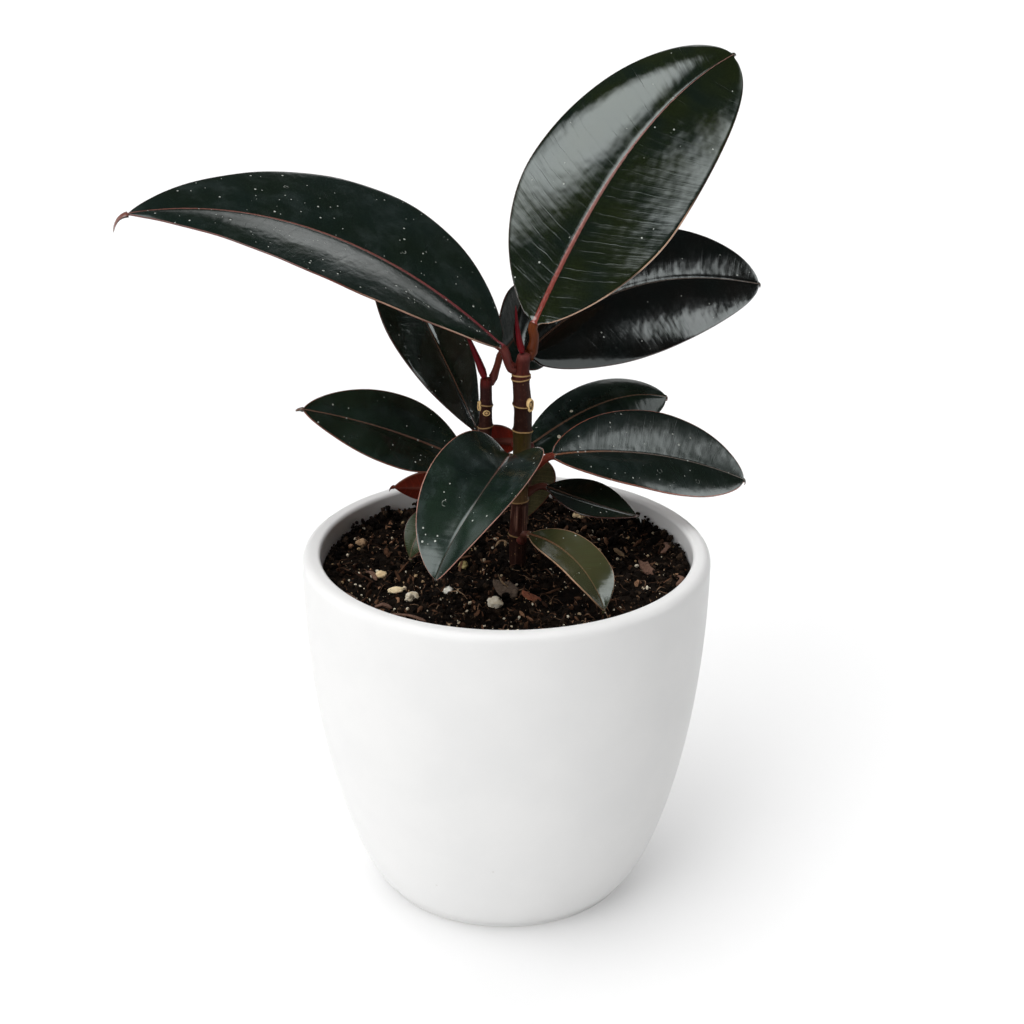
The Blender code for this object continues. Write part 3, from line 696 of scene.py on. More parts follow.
def stem(node, axis, rings, ridged, scars, spurs, surface, scar_surface, sides=72):
    """A stem with leaf-scar rings, lengthwise ridges, oval leaf scars and dry spurs.

    rings are heights, each of ridged is (start, end, size), each of scars is (height, side it faces in
    degrees, half width, half height, how far it stands out), and each of spurs is (root, tip, radius).
    """
    table = np.array([row for row in axis if not any(abs(row[2] - r) < 0.1 for r in rings)], float)
    low = SOIL_LEVEL - 4.0
    z = np.arange(low, axis[-1][2] + 0.01, BARK_STEP)
    spine_x, spine_y, radius = (np.interp(z, table[:, 2], table[:, k]) for k in (0, 1, 3))
    kernel = np.ones(9) / 9
    for line in (spine_x, spine_y, radius):
        line[4:-4] = np.convolve(line, kernel, "valid")
    a = circle(sides)
    height = z[:, None] + 0 * a
    turn = a[None, :] + 0 * height
    spots = np.stack([radius[:, None] * np.cos(a), radius[:, None] * np.sin(a), height], -1).reshape(-1, 3)
    rough = noise_at(spots, 2.2, 4).reshape(height.shape)
    ring_mark = np.zeros_like(height)
    bulge = np.zeros_like(height)
    for i, r in enumerate(rings):
        tilt = 0.35 * np.sin(turn + 1.9 * i) + 0.12 * rough
        off = height - r - tilt
        ring_mark = np.maximum(ring_mark, np.exp(-(off / 0.33) ** 2))
        bulge += 0.34 * np.exp(-(off / 0.40) ** 2) + 0.22 * np.exp(-(off / 1.6) ** 2)
    ridge = np.zeros_like(height)
    wander = noise_at(spots * np.array([1, 1, 0.12]), 1.5, 9).reshape(height.shape)
    for start, end, size in ridged:
        inside = np.clip((height - start) / 1.0, 0, 1) * np.clip((end - height) / 1.0, 0, 1)
        ridge += size * inside * (np.sin(6 * turn + 3.5 * wander) + 0.5 * np.sin(13 * turn - 4 * wander))
    full = radius[:, None] + bulge + ridge + 0.05 * rough + 0.05 * wander
    full *= np.where(height < SOIL_LEVEL + 2, 1 + 0.05 * (SOIL_LEVEL + 2 - height) / 2, 1)
    top = np.clip((axis[-1][2] - height) / 0.9, 0, 1)
    full *= np.sqrt(np.clip(1 - (1 - top) ** 2, 0.02, 1))
    points = np.stack([spine_x[:, None] + full * np.cos(a), spine_y[:, None] + full * np.sin(a), height], -1)
    points = points.reshape(-1, 3)
    faces = capped_tube(len(z), sides)
    slots = [0] * len(faces)
    place = np.stack([turn * 3.0, height, ridge], -1).reshape(-1, 3)
    marks = np.stack([ring_mark, np.clip(0.5 + rough, 0, 1), wander], -1).reshape(-1, 3)

    # Oval scars: a raised cream rim round a sunken darker middle
    for scar_z, facing, wide, tall, proud in scars:
        core, r = stem_point(axis, scar_z)
        out = level_way(facing)
        along = np.array([-out[1], out[0], 0.0])
        steps, around = 12, 40
        first = len(points)
        rho = np.concatenate([[0.0], np.linspace(0.12, 1.0, steps - 2), [1.12]])
        b = circle(around)
        extra, extra_place, extra_marks = [], [], []
        for p in rho:
            wobble = 1 + 0.05 * np.sin(3 * b + scar_z)
            h = proud * np.exp(-((p - 0.8) / 0.16) ** 2) + 0.3 * proud * max(0.0, 1 - (p / 0.95) ** 6)
            h = h + 0.4 * proud * math.exp(-(p / 0.3) ** 2)
            h = h - (0.9 if p > 1.05 else 0.0)
            ox = p * wide * wobble * np.cos(b)
            oz = p * tall * wobble * np.sin(b)
            depth = np.sqrt(np.clip(r * r - np.minimum(np.abs(ox), r) ** 2, 0, None)) - 0.15
            spots = core + np.outer(depth + h, out) + np.outer(ox, along)
            spots[:, 2] += oz
            extra.append(spots)
            extra_place.append(np.stack([ox, oz, p + 0 * b], -1))
            extra_marks.append(np.stack([p + 0 * b, 0 * b, 0 * b], -1))
        points = np.vstack([points] + extra)
        place = np.vstack([place] + extra_place)
        marks = np.vstack([marks] + extra_marks)
        more = tube_faces(len(rho), around, first)
        faces += more
        slots += [1] * len(more)

    # A short dry spur where an old scale stayed on
    for root, tip, size in spurs:
        root = np.array(root, float)
        tip = np.array(tip, float)
        first = len(points)
        way = unit(tip - root)
        side = unit(np.cross(way, (0.3, 1, 0.1)))
        over = np.cross(way, side)
        extra = [round_ring(root + share * (tip - root), side, over, size * (1.02 - share), SPUR_SIDES, 0.6)
                 for share in SPUR_SHARES]
        points = np.vstack([points] + extra)
        count = SPUR_SIDES * len(SPUR_SHARES)
        place = np.vstack([place, np.zeros((count, 3))])
        marks = np.vstack([marks, np.full((count, 3), SPUR_MARK)])
        more = tube_faces(len(SPUR_SHARES), SPUR_SIDES, first)
        faces += more
        slots += [1] * len(more)

    thing = make_mesh(node + "_bark", points, faces, (surface, scar_surface), slots)
    store(thing, "place", place)
    store(thing, "marks", marks)
    tie(thing, node)


def bark(name, bands):
    """Stem bark whose colour changes at each node, with pale rings and small corky dots."""
    s = Surface(name, Specular_IOR_Level=0.09)
    turn, z, ridge = s.stored("place")
    ring, _, _ = s.stored("marks")
    spot = s.object_place()
    fine = s.noise(spot, 900.0, 4.0, 0.6)
    along = s.noise(s.joined(turn, s.times(z, 0.08), 1.0), 2.6, 4.0, 0.6)
    height = s.plus(z, s.times(s.minus(along, 0.5), 1.5))
    s.colour = bands[0][1]
    for start, tone, blend in bands[1:]:
        s.paint(s.ramp(height, start - blend, start + blend), tone)
    s.paint(s.ramp(along, 0.42, 0.72, 0.0, 0.55), (0.018, 0.008, 0.007))
    s.paint(s.ramp(ridge, 0.02, 0.2, 0.0, 0.65), (0.36, 0.19, 0.14))
    s.paint(s.ramp(fine, 0.5, 0.8, 0.0, 0.15), (0.30, 0.14, 0.09))
    dot = s.dots(s.joined(turn, s.times(z, 0.7), 3.0), 0.62, 0.17, 0.1, 0.3)
    s.paint(s.times(dot, 0.7), (0.42, 0.24, 0.12))
    s.paint(s.ramp(ring, 0.35, 0.85, 0.0, 0.9), (0.40, 0.25, 0.11))
    rough = s.ramp(fine, 0.3, 0.7, 0.42, 0.6)
    height = s.plus(s.times(along, 0.6), s.times(fine, 0.3))
    normal = s.bump(s.plus(height, s.times(dot, 0.5)), 0.55, 0.2 * MM)
    return s.finish(rough, normal)


def scar_cork(name):
    """Cream corky rim of a leaf scar with a brown middle, and a pale spot in the middle painted as its
    highlight.
    """
    s = Surface(name, Specular_IOR_Level=0.35)
    p, _, _ = s.stored("marks")
    fine = s.noise(s.object_place(), 1500.0, 3.0)
    s.colour = s.mix(s.ramp(p, 0.60, 0.72), (0.10, 0.040, 0.012), (0.74, 0.50, 0.22))
    # Pale spot in the middle of the scar: a painted highlight
    s.paint(s.ramp(p, 0.42, 0.28), (0.70, 0.46, 0.20))
    s.paint(s.ramp(p, 0.95, 1.08), (0.25, 0.13, 0.05))
    s.paint(s.ramp(fine, 0.5, 0.8, 0.0, 0.4), (0.85, 0.70, 0.42))
    return s.finish(s.ramp(fine, 0.3, 0.7, 0.5, 0.7), s.bump(fine, 0.5, 0.12 * MM))


# Thickness of a sheath at places along it, as shares
SHEATH_PLACES = (-0.05, 0, 0.12, 0.35, 0.6, 0.82, 0.96, 1.0)
SHEATH_SIZES = (0.7, 0.86, 1.0, 0.86, 0.62, 0.4, 0.18, 0.03)


def sheath(node, foot, knee, tip, radius, surface):
    """A slender pointed sheath with shallow flutes."""
    sides = 36
    steps = 70
    track = [np.array(v, float) for v in (foot, knee, tip)]
    rings, lengths, marks = [], [], []
    for i in range(steps + 1):
        t = -0.05 + 1.05 * i / steps
        s = 1 - t
        middle = s * s * track[0] + 2 * s * t * track[1] + t * t * track[2]
        ahead = unit(2 * s * (track[1] - track[0]) + 2 * t * (track[2] - track[1]))
        side = unit(np.cross(ahead, (0, 1, 0)))
        rise = np.cross(side, ahead)
        size = np.interp(t, SHEATH_PLACES, SHEATH_SIZES)
        a = circle(sides)
        flute = 1 + 0.035 * np.sin(5 * a + 2.0 * t) + 0.05 * np.exp(-((a - 4.4) / 0.25) ** 2)
        r = radius * size * flute
        rings.append(middle + (r * np.cos(a))[:, None] * side + (r * np.sin(a))[:, None] * rise)
        lengths.append(t)
        marks.append(np.stack([a, t + 0 * a, size + 0 * a], -1))
    faces = capped_tube(len(rings), sides)
    thing = make_mesh(node + "_skin", np.concatenate(rings), faces, (surface,))
    store(thing, "place", np.concatenate(marks))
    tube_map(thing, len(rings), sides, lengths)
    tie(thing, node)


def sheath_skin(name, low, high):
    """Smooth red skin of a sheath, with fine lines along it."""
    s = Surface(name, Specular_IOR_Level=0.1)
    a, t, _ = s.stored("place")
    lines = s.noise(s.joined(s.times(a, 3.0), s.times(t, 1.2)), 2.0, 4.0, 0.6)
    s.colour = s.mix(s.ramp(t, 0.0, 0.8), low, high)
    s.paint(s.ramp(lines, 0.4, 0.75, 0.0, 0.6), scaled(high, 0.35))
    return s.finish(s.ramp(lines, 0.3, 0.7, 0.28, 0.42), s.bump(lines, 0.5, 0.15 * MM))


# ------------------------------------------------------------------------- pot

def pot_side(steps):
    """Outer side of the pot from its foot up to the rim."""
    low = math.radians(BELLY_START[1])
    high = math.radians(BELLY_END[1])
    start = np.array([POT_BASE_RADIUS, FOOT_ROUND])
    end = np.array([POT_RADIUS, POT_HEIGHT - RIM_ROUND])
    a = start + BELLY_START[0] * np.array([math.cos(low), math.sin(low)])
    b = end - BELLY_END[0] * np.array([math.sin(high), math.cos(high)])
    return bezier(start, a, b, end, steps)


def make_pot(surface):
    """The glazed pot: one profile turned full circle, from under the foot over the rim to the inner floor."""
    outer = pot_side(POT_STEPS)
    ahead = unit(np.gradient(outer, axis=0))
    inner = outer + POT_WALL * np.stack([-ahead[:, 1], ahead[:, 0]], -1)
    inner = inner[inner[:, 1] > POT_FLOOR + 3.0]
    profile = [np.array([r, 0.0]) for r in (0.5, 20.0, 36.0)]
    foot = POT_BASE_RADIUS - FOOT_ROUND * 0.6
    profile += [np.array([foot - 6.0, 0.0]), np.array([foot - 0.8, 0.0])]
    for turn in (25, 50, 75):
        a = math.radians(turn)
        profile.append(np.array([foot - 0.8 + 2.0 * math.sin(a), 2.0 * (1 - math.cos(a)) * 0.9]))
    profile += list(outer)
    profile.append(np.array([POT_RADIUS, POT_HEIGHT - RIM_SOFT]))
    top = POT_HEIGHT - RIM_SOFT
    for turn in range(8, 91, 8):
        a = math.radians(turn)
        profile.append(np.array([POT_RADIUS - RIM_SOFT * (1 - math.cos(a)), top + RIM_SOFT * math.sin(a)]))
    inner_edge = POT_RADIUS - POT_WALL
    lip = LIP_ROUND
    for turn in range(0, 91, 15):
        a = math.radians(turn)
        profile.append(np.array([inner_edge + lip * (1 - math.sin(a)), POT_HEIGHT - lip * (1 - math.cos(a))]))
    profile += [p for p in inner[::-1] if p[1] < POT_HEIGHT - lip - 0.5]
    profile += [np.array([r, POT_FLOOR]) for r in (inner[0][0] - 5.0, 20.0, 0.5)]
    profile = np.array(profile)
    a = circle(POT_SIDES)
    radius = profile[:, :1] + 0 * a
    height = profile[:, 1:] + 0 * a
    # A hand-finished pot isn't quite round
    radius = radius * (1 + 0.0012 * np.sin(2 * a + 0.7) + 0.0006 * np.sin(3 * a + 2.0))
    points = np.stack([radius * np.cos(a), radius * np.sin(a), height], -1).reshape(-1, 3)
    faces = capped_tube(len(profile), POT_SIDES)
    thing = make_mesh("glazed_pot", points, faces, (surface,))
    tube_map(thing, len(profile), POT_SIDES, run_along(profile))
    tie(thing, "pot")


def pot_glaze(name):
    """Satin white glaze: faint mottling, a fine orange-peel surface and a dark band inside the rim at the
    soil, partly a dusting of soil and partly painted shade.
    """
    s = Surface(name, Specular_IOR_Level=0.45, Coat_Weight=0.1, Coat_Roughness=0.35)
    spot = s.object_place()
    x, y, z = s.parts(spot)
    cloud = s.noise(spot, 28.0, 4.0, 0.55)
    s.colour = s.mix(s.ramp(cloud, 0.3, 0.7), (0.785, 0.785, 0.78), (0.815, 0.813, 0.806))
    dot = s.dots(spot, 240.0, 0.14, 0.06, 0.025)
    s.paint(s.times(dot, 0.25), (0.45, 0.42, 0.38))
    # A dark band on the inner wall at the soil line: partly a dusting of soil clinging just above it, partly
    # painted shade where the soil meets the wall
    radius = s.length(x, y)
    inside = s.ramp(radius, (POT_RADIUS - POT_WALL + 0.9) * MM, (POT_RADIUS - POT_WALL + 0.3) * MM)
    ragged = s.times(s.noise(spot, 420.0, 5.0, 0.65), 1.5 * MM)
    above = s.minus(s.minus(z, SOIL_LEVEL * MM), ragged)
    soil_dust_and_shade = s.times(s.ramp(above, 0.8 * MM, -1.2 * MM), inside)
    soil_dust_and_shade = s.times(soil_dust_and_shade, s.ramp(z, (SOIL_LEVEL - 12) * MM, (SOIL_LEVEL - 11) * MM))
    s.paint(s.times(soil_dust_and_shade, 0.85), (0.06, 0.045, 0.035))
    # Bare clay on the flat foot
    foot = s.ramp(z, 0.35 * MM, 0.1 * MM)
    clay = s.mix(s.ramp(s.noise(spot, 600.0, 4.0), 0.35, 0.7), (0.66, 0.62, 0.56), (0.74, 0.71, 0.66))
    s.paint(foot, clay)
    rough = s.ramp(s.noise(spot, 60.0, 4.0, 0.6), 0.3, 0.7, 0.36, 0.46)
    rough = s.plus(rough, s.times(s.math("MAXIMUM", foot, soil_dust_and_shade), 0.4))
    peel = s.noise(spot, 330.0, 3.0, 0.5)
    slow = s.noise(spot, 45.0, 2.0)
    height = s.plus(s.times(peel, 0.10), s.times(slow, 0.9))
    return s.finish(rough, s.bump(height, 0.25, 0.25 * MM))


# ------------------------------------------------------------------------ soil

RIM_BAND = 4.0        # width of the band of soil beside the pot where more crumbs gather

def cad_soil_height(x, y):
    """Slow waves of the soil top, as in the CAD."""
    wave = np.sin(0.19 * x + 0.6) * np.cos(0.23 * y - 0.4) + 0.5 * np.sin(0.41 * x - 0.33 * y)
    return SOIL_LEVEL + 0.48 * wave


def soil_height(x, y):
    """Height of the soil with its lumps, and banked up against the rear of the pot."""
    x = np.asarray(x, float)
    y = np.asarray(y, float)
    spots = np.stack([x.ravel(), y.ravel(), 0 * x.ravel()], -1)
    rough = 0.9 * noise_at(spots, 7.0, 21) + 0.75 * noise_at(spots, 2.9, 22) + 0.45 * noise_at(spots, 1.3, 23)
    r = np.hypot(x, y)
    around = np.arctan2(y, x)
    lobes = 0.65 + 0.25 * np.sin(around * 3 + 1.0) + 0.3 * np.sin(around * 11)
    bank = 2.4 * np.clip((r - 59) / 8.5, 0, 1) ** 2 * lobes * np.clip(0.35 + y / 60, 0, 1)
    return cad_soil_height(x, y) + rough.reshape(x.shape) * 1.15 + bank


# Radius and height of the soil's unseen sides and bottom
SOIL_UNDER = (
    (SOIL_RADIUS, SOIL_LEVEL - 4.0),
    (SOIL_RADIUS - 4.0, 60.0),
    (48.0, 22.0),
    (34.0, POT_FLOOR + 0.6),
    (0.4, POT_FLOOR + 0.6),
)
SOIL_SIDES = 220
SOIL_RINGS = 96


def make_soil(surface):
    """The body of the soil, closed below, in the place of its CAD node."""
    rings = np.concatenate([[0.4], np.linspace(1.4, SOIL_RADIUS, SOIL_RINGS)])
    a = circle(SOIL_SIDES)
    x = rings[:, None] * np.cos(a)
    y = rings[:, None] * np.sin(a)
    top = np.stack([x, y, soil_height(x, y)], -1)
    under = [np.stack([r * np.cos(a), r * np.sin(a), z + 0 * a], -1) for r, z in SOIL_UNDER]
    grid = np.concatenate([top, np.array(under)])
    faces = capped_tube(len(grid), SOIL_SIDES)
    thing = make_mesh("soil_bed", grid.reshape(-1, 3), faces, (surface,))
    store(thing, "tone", np.full(len(grid) * SOIL_SIDES, 0.35))
    tie(thing, "soil")


def lump_template(subdivisions):
    """Points and faces of a ball, which lumps are made from."""
    work = bmesh.new()
    bmesh.ops.create_icosphere(work, subdivisions=subdivisions, radius=1.0)
    points = np.array([v.co[:] for v in work.verts])
    faces = np.array([[v.index for v in face.verts] for face in work.faces])
    work.free()
    return points, faces


def random_turns(dice, count):
    """Rotation matrices of random turns, from random quaternions."""
    q = unit(dice.normal(size=(count, 4)))
    w, x, y, z = q.T
    return np.stack([
        np.stack([1 - 2 * (y * y + z * z), 2 * (x * y - z * w), 2 * (x * z + y * w)], -1),
        np.stack([2 * (x * y + z * w), 1 - 2 * (x * x + z * z), 2 * (y * z - x * w)], -1),
        np.stack([2 * (x * z - y * w), 2 * (y * z + x * w), 1 - 2 * (x * x + y * y)], -1)], 1)


def scatter(name, count, sizes, subdivisions, wobble, squash, sink, surface, slot, tones, seed,
            rim_share=0.0, pile=0.0):
    """Many small lumps on the soil, joined in one mesh.

    Sizes and tones are given from least to most, sink is the share of a lump that lies in the soil,
    and rim_share is the share of lumps that lie in the band beside the pot, piled up to pile high.
    """
    dice = np.random.default_rng(seed)
    reach = SOIL_RADIUS - 0.6
    shape, faces = lump_template(subdivisions)
    r = reach * np.sqrt(dice.random(count))
    at_rim = dice.random(count) < rim_share
    r = np.where(at_rim, reach - dice.random(count) ** 2 * RIM_BAND, r)
    a = dice.random(count) * 2 * math.pi
    x = r * np.cos(a)
    y = r * np.sin(a)
    size = sizes[0] * (sizes[1] / sizes[0]) ** (dice.random(count) ** 1.8)
    r_limit = np.minimum(1.0, (reach + 0.3 - size / 2) / np.maximum(r, 1e-6))
    x = x * r_limit
    y = y * r_limit
    z = soil_height(x, y) + size * (0.5 - sink) * squash[2]
    z = z + pile * dice.random(count) ** 2 * np.clip(0.4 + y / 60, 0, 1)
    bumpy = 1 + wobble * dice.uniform(-1, 1, size=(count, len(shape), 1))
    local = shape[None] * bumpy * np.array(squash) * dice.uniform(0.75, 1.25, size=(count, 1, 3))
    tilt = random_turns(dice, count)
    local = np.einsum("nij,nkj->nki", tilt, local) * (size / 2)[:, None, None]
    points = (local + np.stack([x, y, z], -1)[:, None]).reshape(-1, 3)
    all_faces = (faces[None] + (np.arange(count) * len(shape))[:, None, None]).reshape(-1, 3)
    thing = make_mesh(name, points, all_faces.tolist(), (surface,), smooth=False)
    tone = tones[0] + (tones[1] - tones[0]) * dice.random(count)
    store(thing, "tone", np.repeat(tone, len(shape)))
    tie(thing)


def make_fibres(name, count, surface, seed):
    """Short root hairs and splinters lying on the soil, joined in one mesh."""
    dice = np.random.default_rng(seed)
    points, faces, tone = [], [], []
    corners = 5
    joints = 7
    for _ in range(count):
        r = (SOIL_RADIUS - 4) * math.sqrt(dice.random())
        a = dice.random() * 2 * math.pi
        length = 2.0 + 7.0 * dice.random() ** 2
        thick = 0.09 + 0.22 * dice.random() ** 2
        heading = dice.random() * 2 * math.pi
        turn = dice.normal() * 0.9
        lift = dice.random() ** 2 * 1.6
        spot = np.array([r * math.cos(a), r * math.sin(a)])
        shade = dice.random()
        first = len(points)
        for k in range(joints):
            t = k / (joints - 1)
            way = np.array([math.cos(heading + turn * t), math.sin(heading + turn * t), 0.0])
            rise = 0.5 + lift * 4 * t * (1 - t)
            z = float(soil_height(spot[0], spot[1])) + rise
            side = np.array([-way[1], way[0], 0.0])
            size = thick * (1 - 0.75 * abs(2 * t - 1) ** 3)
            for c in range(corners):
                b = 2 * math.pi * c / corners
                points.append((*(spot + side[:2] * size * math.cos(b)), z + size * math.sin(b) * 0.7))
                tone.append(shade)
            spot = spot + way[:2] * length / (joints - 1)
            spot = spot * min(1.0, (SOIL_RADIUS - 1.0) / np.hypot(*spot))
        faces += capped_tube(joints, corners, first)
    thing = make_mesh(name, points, faces, (surface,))
    store(thing, "tone", tone)
    tie(thing)


def soil_skin(name, dark, mid, light):
    """Moist crumbly soil whose crumbs differ a little in colour."""
    s = Surface(name, Specular_IOR_Level=0.12)
    tone = s.attribute("tone").outputs["Fac"]
    spot = s.object_place()
    fine = s.noise(spot, 1600.0, 5.0, 0.7)
    broad = s.noise(spot, 210.0, 4.0, 0.6)
    shade = s.plus(s.times(broad, 0.55), s.times(tone, 0.45))
    s.colour = s.mix(s.ramp(shade, 0.3, 0.62), dark, mid)
    spark = s.plus(s.times(fine, 0.5), s.times(tone, 0.5))
    s.paint(s.ramp(spark, 0.58, 0.84), light)
    rough = s.ramp(fine, 0.3, 0.7, 0.72, 0.95)
    height = s.plus(s.times(fine, 0.5), s.times(broad, 0.8))
    return s.finish(rough, s.bump(height, 0.9, 0.6 * MM))


def pale_bits(name, dark, light, scale):
    """Porous mineral grain: cream, with its pits darkened as painted shade, and soil stains."""
    s = Surface(name, Specular_IOR_Level=0.3)
    tone = s.attribute("tone").outputs["Fac"]
    spot = s.object_place()
    fine = s.noise(spot, scale, 5.0, 0.65)
    shade = s.plus(s.times(tone, 0.6), s.times(fine, 0.5))
    s.colour = s.mix(s.ramp(shade, 0.35, 0.75), dark, light)
    # Pits sunk by the bump and painted almost black: painted shade in the holes
    pit_shade = s.dots(spot, scale * 0.75, 0.42, 0.24, 0.45)
    s.paint(s.times(pit_shade, 0.9), scaled(dark, 0.12))
    stain = s.ramp(s.noise(spot, scale * 0.35, 3.0), 0.52, 0.72)
    s.paint(s.times(stain, 0.55), scaled(dark, 0.6))
    height = s.minus(s.times(fine, 0.7), s.times(pit_shade, 0.8))
    return s.finish(s.ramp(fine, 0.3, 0.7, 0.7, 0.95), s.bump(height, 0.8, 0.35 * MM))


def grain(node, x, y, size, flat, turn, seed, surface):
    """A larger pitted grain in the place of its CAD node."""
    jagged = 0.26
    shape, faces = lump_template(4)
    swell = 1 + jagged * noise_at(shape, 0.8, seed) + jagged * 0.6 * noise_at(shape, 0.33, seed + 2)
    swell += jagged * 0.25 * noise_at(shape, 0.13, seed + 4)
    pits = np.clip(noise_at(shape, 0.42, seed + 7) - 0.25, 0, 1)
    local = shape * (swell - 0.5 * pits)[:, None] * np.array([size[0] / 2, size[1] / 2, size[1] / 2 * flat])
    turn = math.radians(turn)
    px = x + local[:, 0] * math.cos(turn) - local[:, 1] * math.sin(turn)
    py = y + local[:, 0] * math.sin(turn) + local[:, 1] * math.cos(turn)
    level = float(cad_soil_height(x, y)) + size[1] * flat * 0.18 + 0.5
    points = np.stack([px, py, level + local[:, 2]], -1)
    thing = make_mesh(node + "_lump", points, faces.tolist(), (surface,))
    tone = 0.35 + 0.5 * random.Random(seed).random()
    store(thing, "tone", tone + 0.25 * noise_at(shape, 0.6, seed + 9))
    tie(thing, node)


def wood(name, dark, light, crack):
    """Weathered bark or wood: fine grain, soft blotches and dark cracks."""
    s = Surface(name, Specular_IOR_Level=0.3)
    spot = s.object_place()
    fine = s.noise(spot, 1900.0, 5.0, 0.65)
    broad = s.noise(spot, 420.0, 3.0, 0.6)
    shade = s.plus(s.times(fine, 0.55), s.times(broad, 0.45))
    s.colour = s.mix(s.ramp(shade, 0.35, 0.65), dark, light)
    split = s.cells(spot, 520.0, feature="DISTANCE_TO_EDGE").outputs["Distance"]
    gap = s.times(s.ramp(split, 0.05, 0.015), s.ramp(broad, 0.45, 0.6))
    s.paint(gap, crack)
    height = s.minus(fine, s.times(gap, 0.8))
    return s.finish(s.ramp(fine, 0.3, 0.7, 0.65, 0.9), s.bump(height, 0.8, 0.35 * MM))


# Rings of a flake from the middle of its top to the middle of its bottom: share of the outline, drop
FLAKE_RINGS = (
    (0.02, 0.0), (0.3, 0.0), (0.55, 0.02), (0.75, 0.05), (0.9, 0.12), (0.98, 0.3),
    (1.0, 0.5), (0.98, 0.7), (0.9, 0.9), (0.6, 1.0), (0.02, 1.0),
)


def chip(node, x, y, corners, thick, lean, rise, surface, seed):
    """A flat flake with an irregular outline, in the place of its CAD node."""
    sides = 72
    outline = np.array(corners + corners[:1], float)
    run = run_along(outline)
    spots = np.arange(sides) * run[-1] / sides
    edge = np.stack([np.interp(spots, run, outline[:, k]) for k in (0, 1)], -1)
    centre = edge.mean(0)
    jag = noise_at(np.column_stack([edge, np.zeros(sides)]), 0.9, seed)
    edge = centre + (edge - centre) * (1 + 0.07 * jag)[:, None]
    level = float(cad_soil_height(x, y)) + rise
    rings = []
    for share, drop in FLAKE_RINGS:
        flat = centre + share * (edge - centre)
        bumps = noise_at(np.column_stack([flat, np.zeros(sides)]), 1.6, seed + 3)
        z = level + lean[0] * flat[:, 0] + lean[1] * flat[:, 1] + thick * (0.5 - drop) + 0.3 * bumps
        rings.append(np.column_stack([flat[:, 0] + x, flat[:, 1] + y, z]))
    faces = capped_tube(len(rings), sides)
    faces = [face[::-1] for face in faces]
    thing = make_mesh(node + "_flake", np.concatenate(rings), faces, (surface,))
    tie(thing, node)


def make_strands(name, strands, surface):
    """Bent strips and twigs lying on the soil, joined in one mesh."""
    sides = 12
    steps = 14
    points, faces = [], []
    for path, wide, thick in strands:
        path = np.array(path, float)
        at = np.linspace(0, len(path) - 1, steps)
        track = np.stack([np.interp(at, np.arange(len(path)), path[:, k]) for k in range(3)], -1)
        for _ in range(2):
            track[1:-1] = (track[:-2] + 2 * track[1:-1] + track[2:]) / 4
        track[:, 2] += SOIL_LEVEL
        first = len(points)
        for i, spot in enumerate(track):
            way = unit(track[min(i + 1, steps - 1)] - track[max(i - 1, 0)])
            side = unit(np.cross(way, (0.0, 0.35, 1.0)))
            over = np.cross(side, way)
            size = math.sqrt(max(0.02, 1 - (2 * i / (steps - 1) - 1) ** 4))
            size = size * (1 + 0.25 * noise.noise(Vector(spot * 0.9)))
            a = circle(sides)
            ring = spot + size * (wide * np.cos(a)[:, None] * side + thick * np.sin(a)[:, None] * over)
            points += ring.tolist()
        faces += capped_tube(steps, sides, first)
    thing = make_mesh(name, points, faces, (surface,))
    tie(thing)


# ------------------------------------------------------------- make everything

make_pot(pot_glaze("satin_white_glaze"))

soil_look = soil_skin("moist_potting_soil", (0.0022, 0.0014, 0.0009), (0.012, 0.0075, 0.0048),
                      (0.20, 0.125, 0.075))
brown_bits = soil_skin("bark_bits", (0.030, 0.014, 0.008), (0.14, 0.07, 0.04), (0.42, 0.24, 0.14))
pale = pale_bits("pale_mineral_bits", (0.50, 0.34, 0.18), (0.92, 0.84, 0.66), 1500.0)
fibre_look = soil_skin("root_fibres", (0.03, 0.016, 0.010), (0.14, 0.075, 0.045), (0.40, 0.27, 0.17))
make_soil(soil_look)
for name, bits in {
    "soil_crumbs": dict(
        count=2150, sizes=(1.3, 3.6), subdivisions=2, wobble=0.2, squash=(1, 0.85, 0.7), sink=0.35,
        surface=soil_look, slot="potting_soil", tones=(0.0, 0.75), seed=31, rim_share=0.12),
    "soil_edge_crumbs": dict(
        count=800, sizes=(1.0, 3.0), subdivisions=2, wobble=0.26, squash=(1, 0.8, 0.8), sink=0.2,
        surface=soil_look, slot="potting_soil", tones=(0.0, 0.8), seed=36, rim_share=1.0, pile=2.6),
    "soil_fine_crumbs": dict(
        count=4300, sizes=(0.5, 1.4), subdivisions=1, wobble=0.25, squash=(1, 0.85, 0.7), sink=0.2,
        surface=soil_look, slot="potting_soil", tones=(0.0, 1.0), seed=32, rim_share=0.1),
    "soil_bark_bits": dict(
        count=850, sizes=(0.8, 4.2), subdivisions=2, wobble=0.2, squash=(1, 0.5, 0.25), sink=-0.1,
        surface=brown_bits, slot="bark_chip", tones=(0.0, 1.0), seed=33),
    "soil_bark_shards": dict(
        count=130, sizes=(3.0, 8.5), subdivisions=2, wobble=0.22, squash=(1, 0.2, 0.13), sink=-0.1,
        surface=brown_bits, slot="bark_chip", tones=(0.0, 0.9), seed=37, rim_share=0.2),
    "soil_pale_bits": dict(
        count=640, sizes=(0.35, 1.7), subdivisions=2, wobble=0.2, squash=(1, 0.85, 0.75), sink=-0.05,
        surface=pale, slot="perlite", tones=(0.1, 1.0), seed=34),
}.items():
    scatter(name, **bits)
make_fibres("soil_fibres", 380, fibre_look, 35)

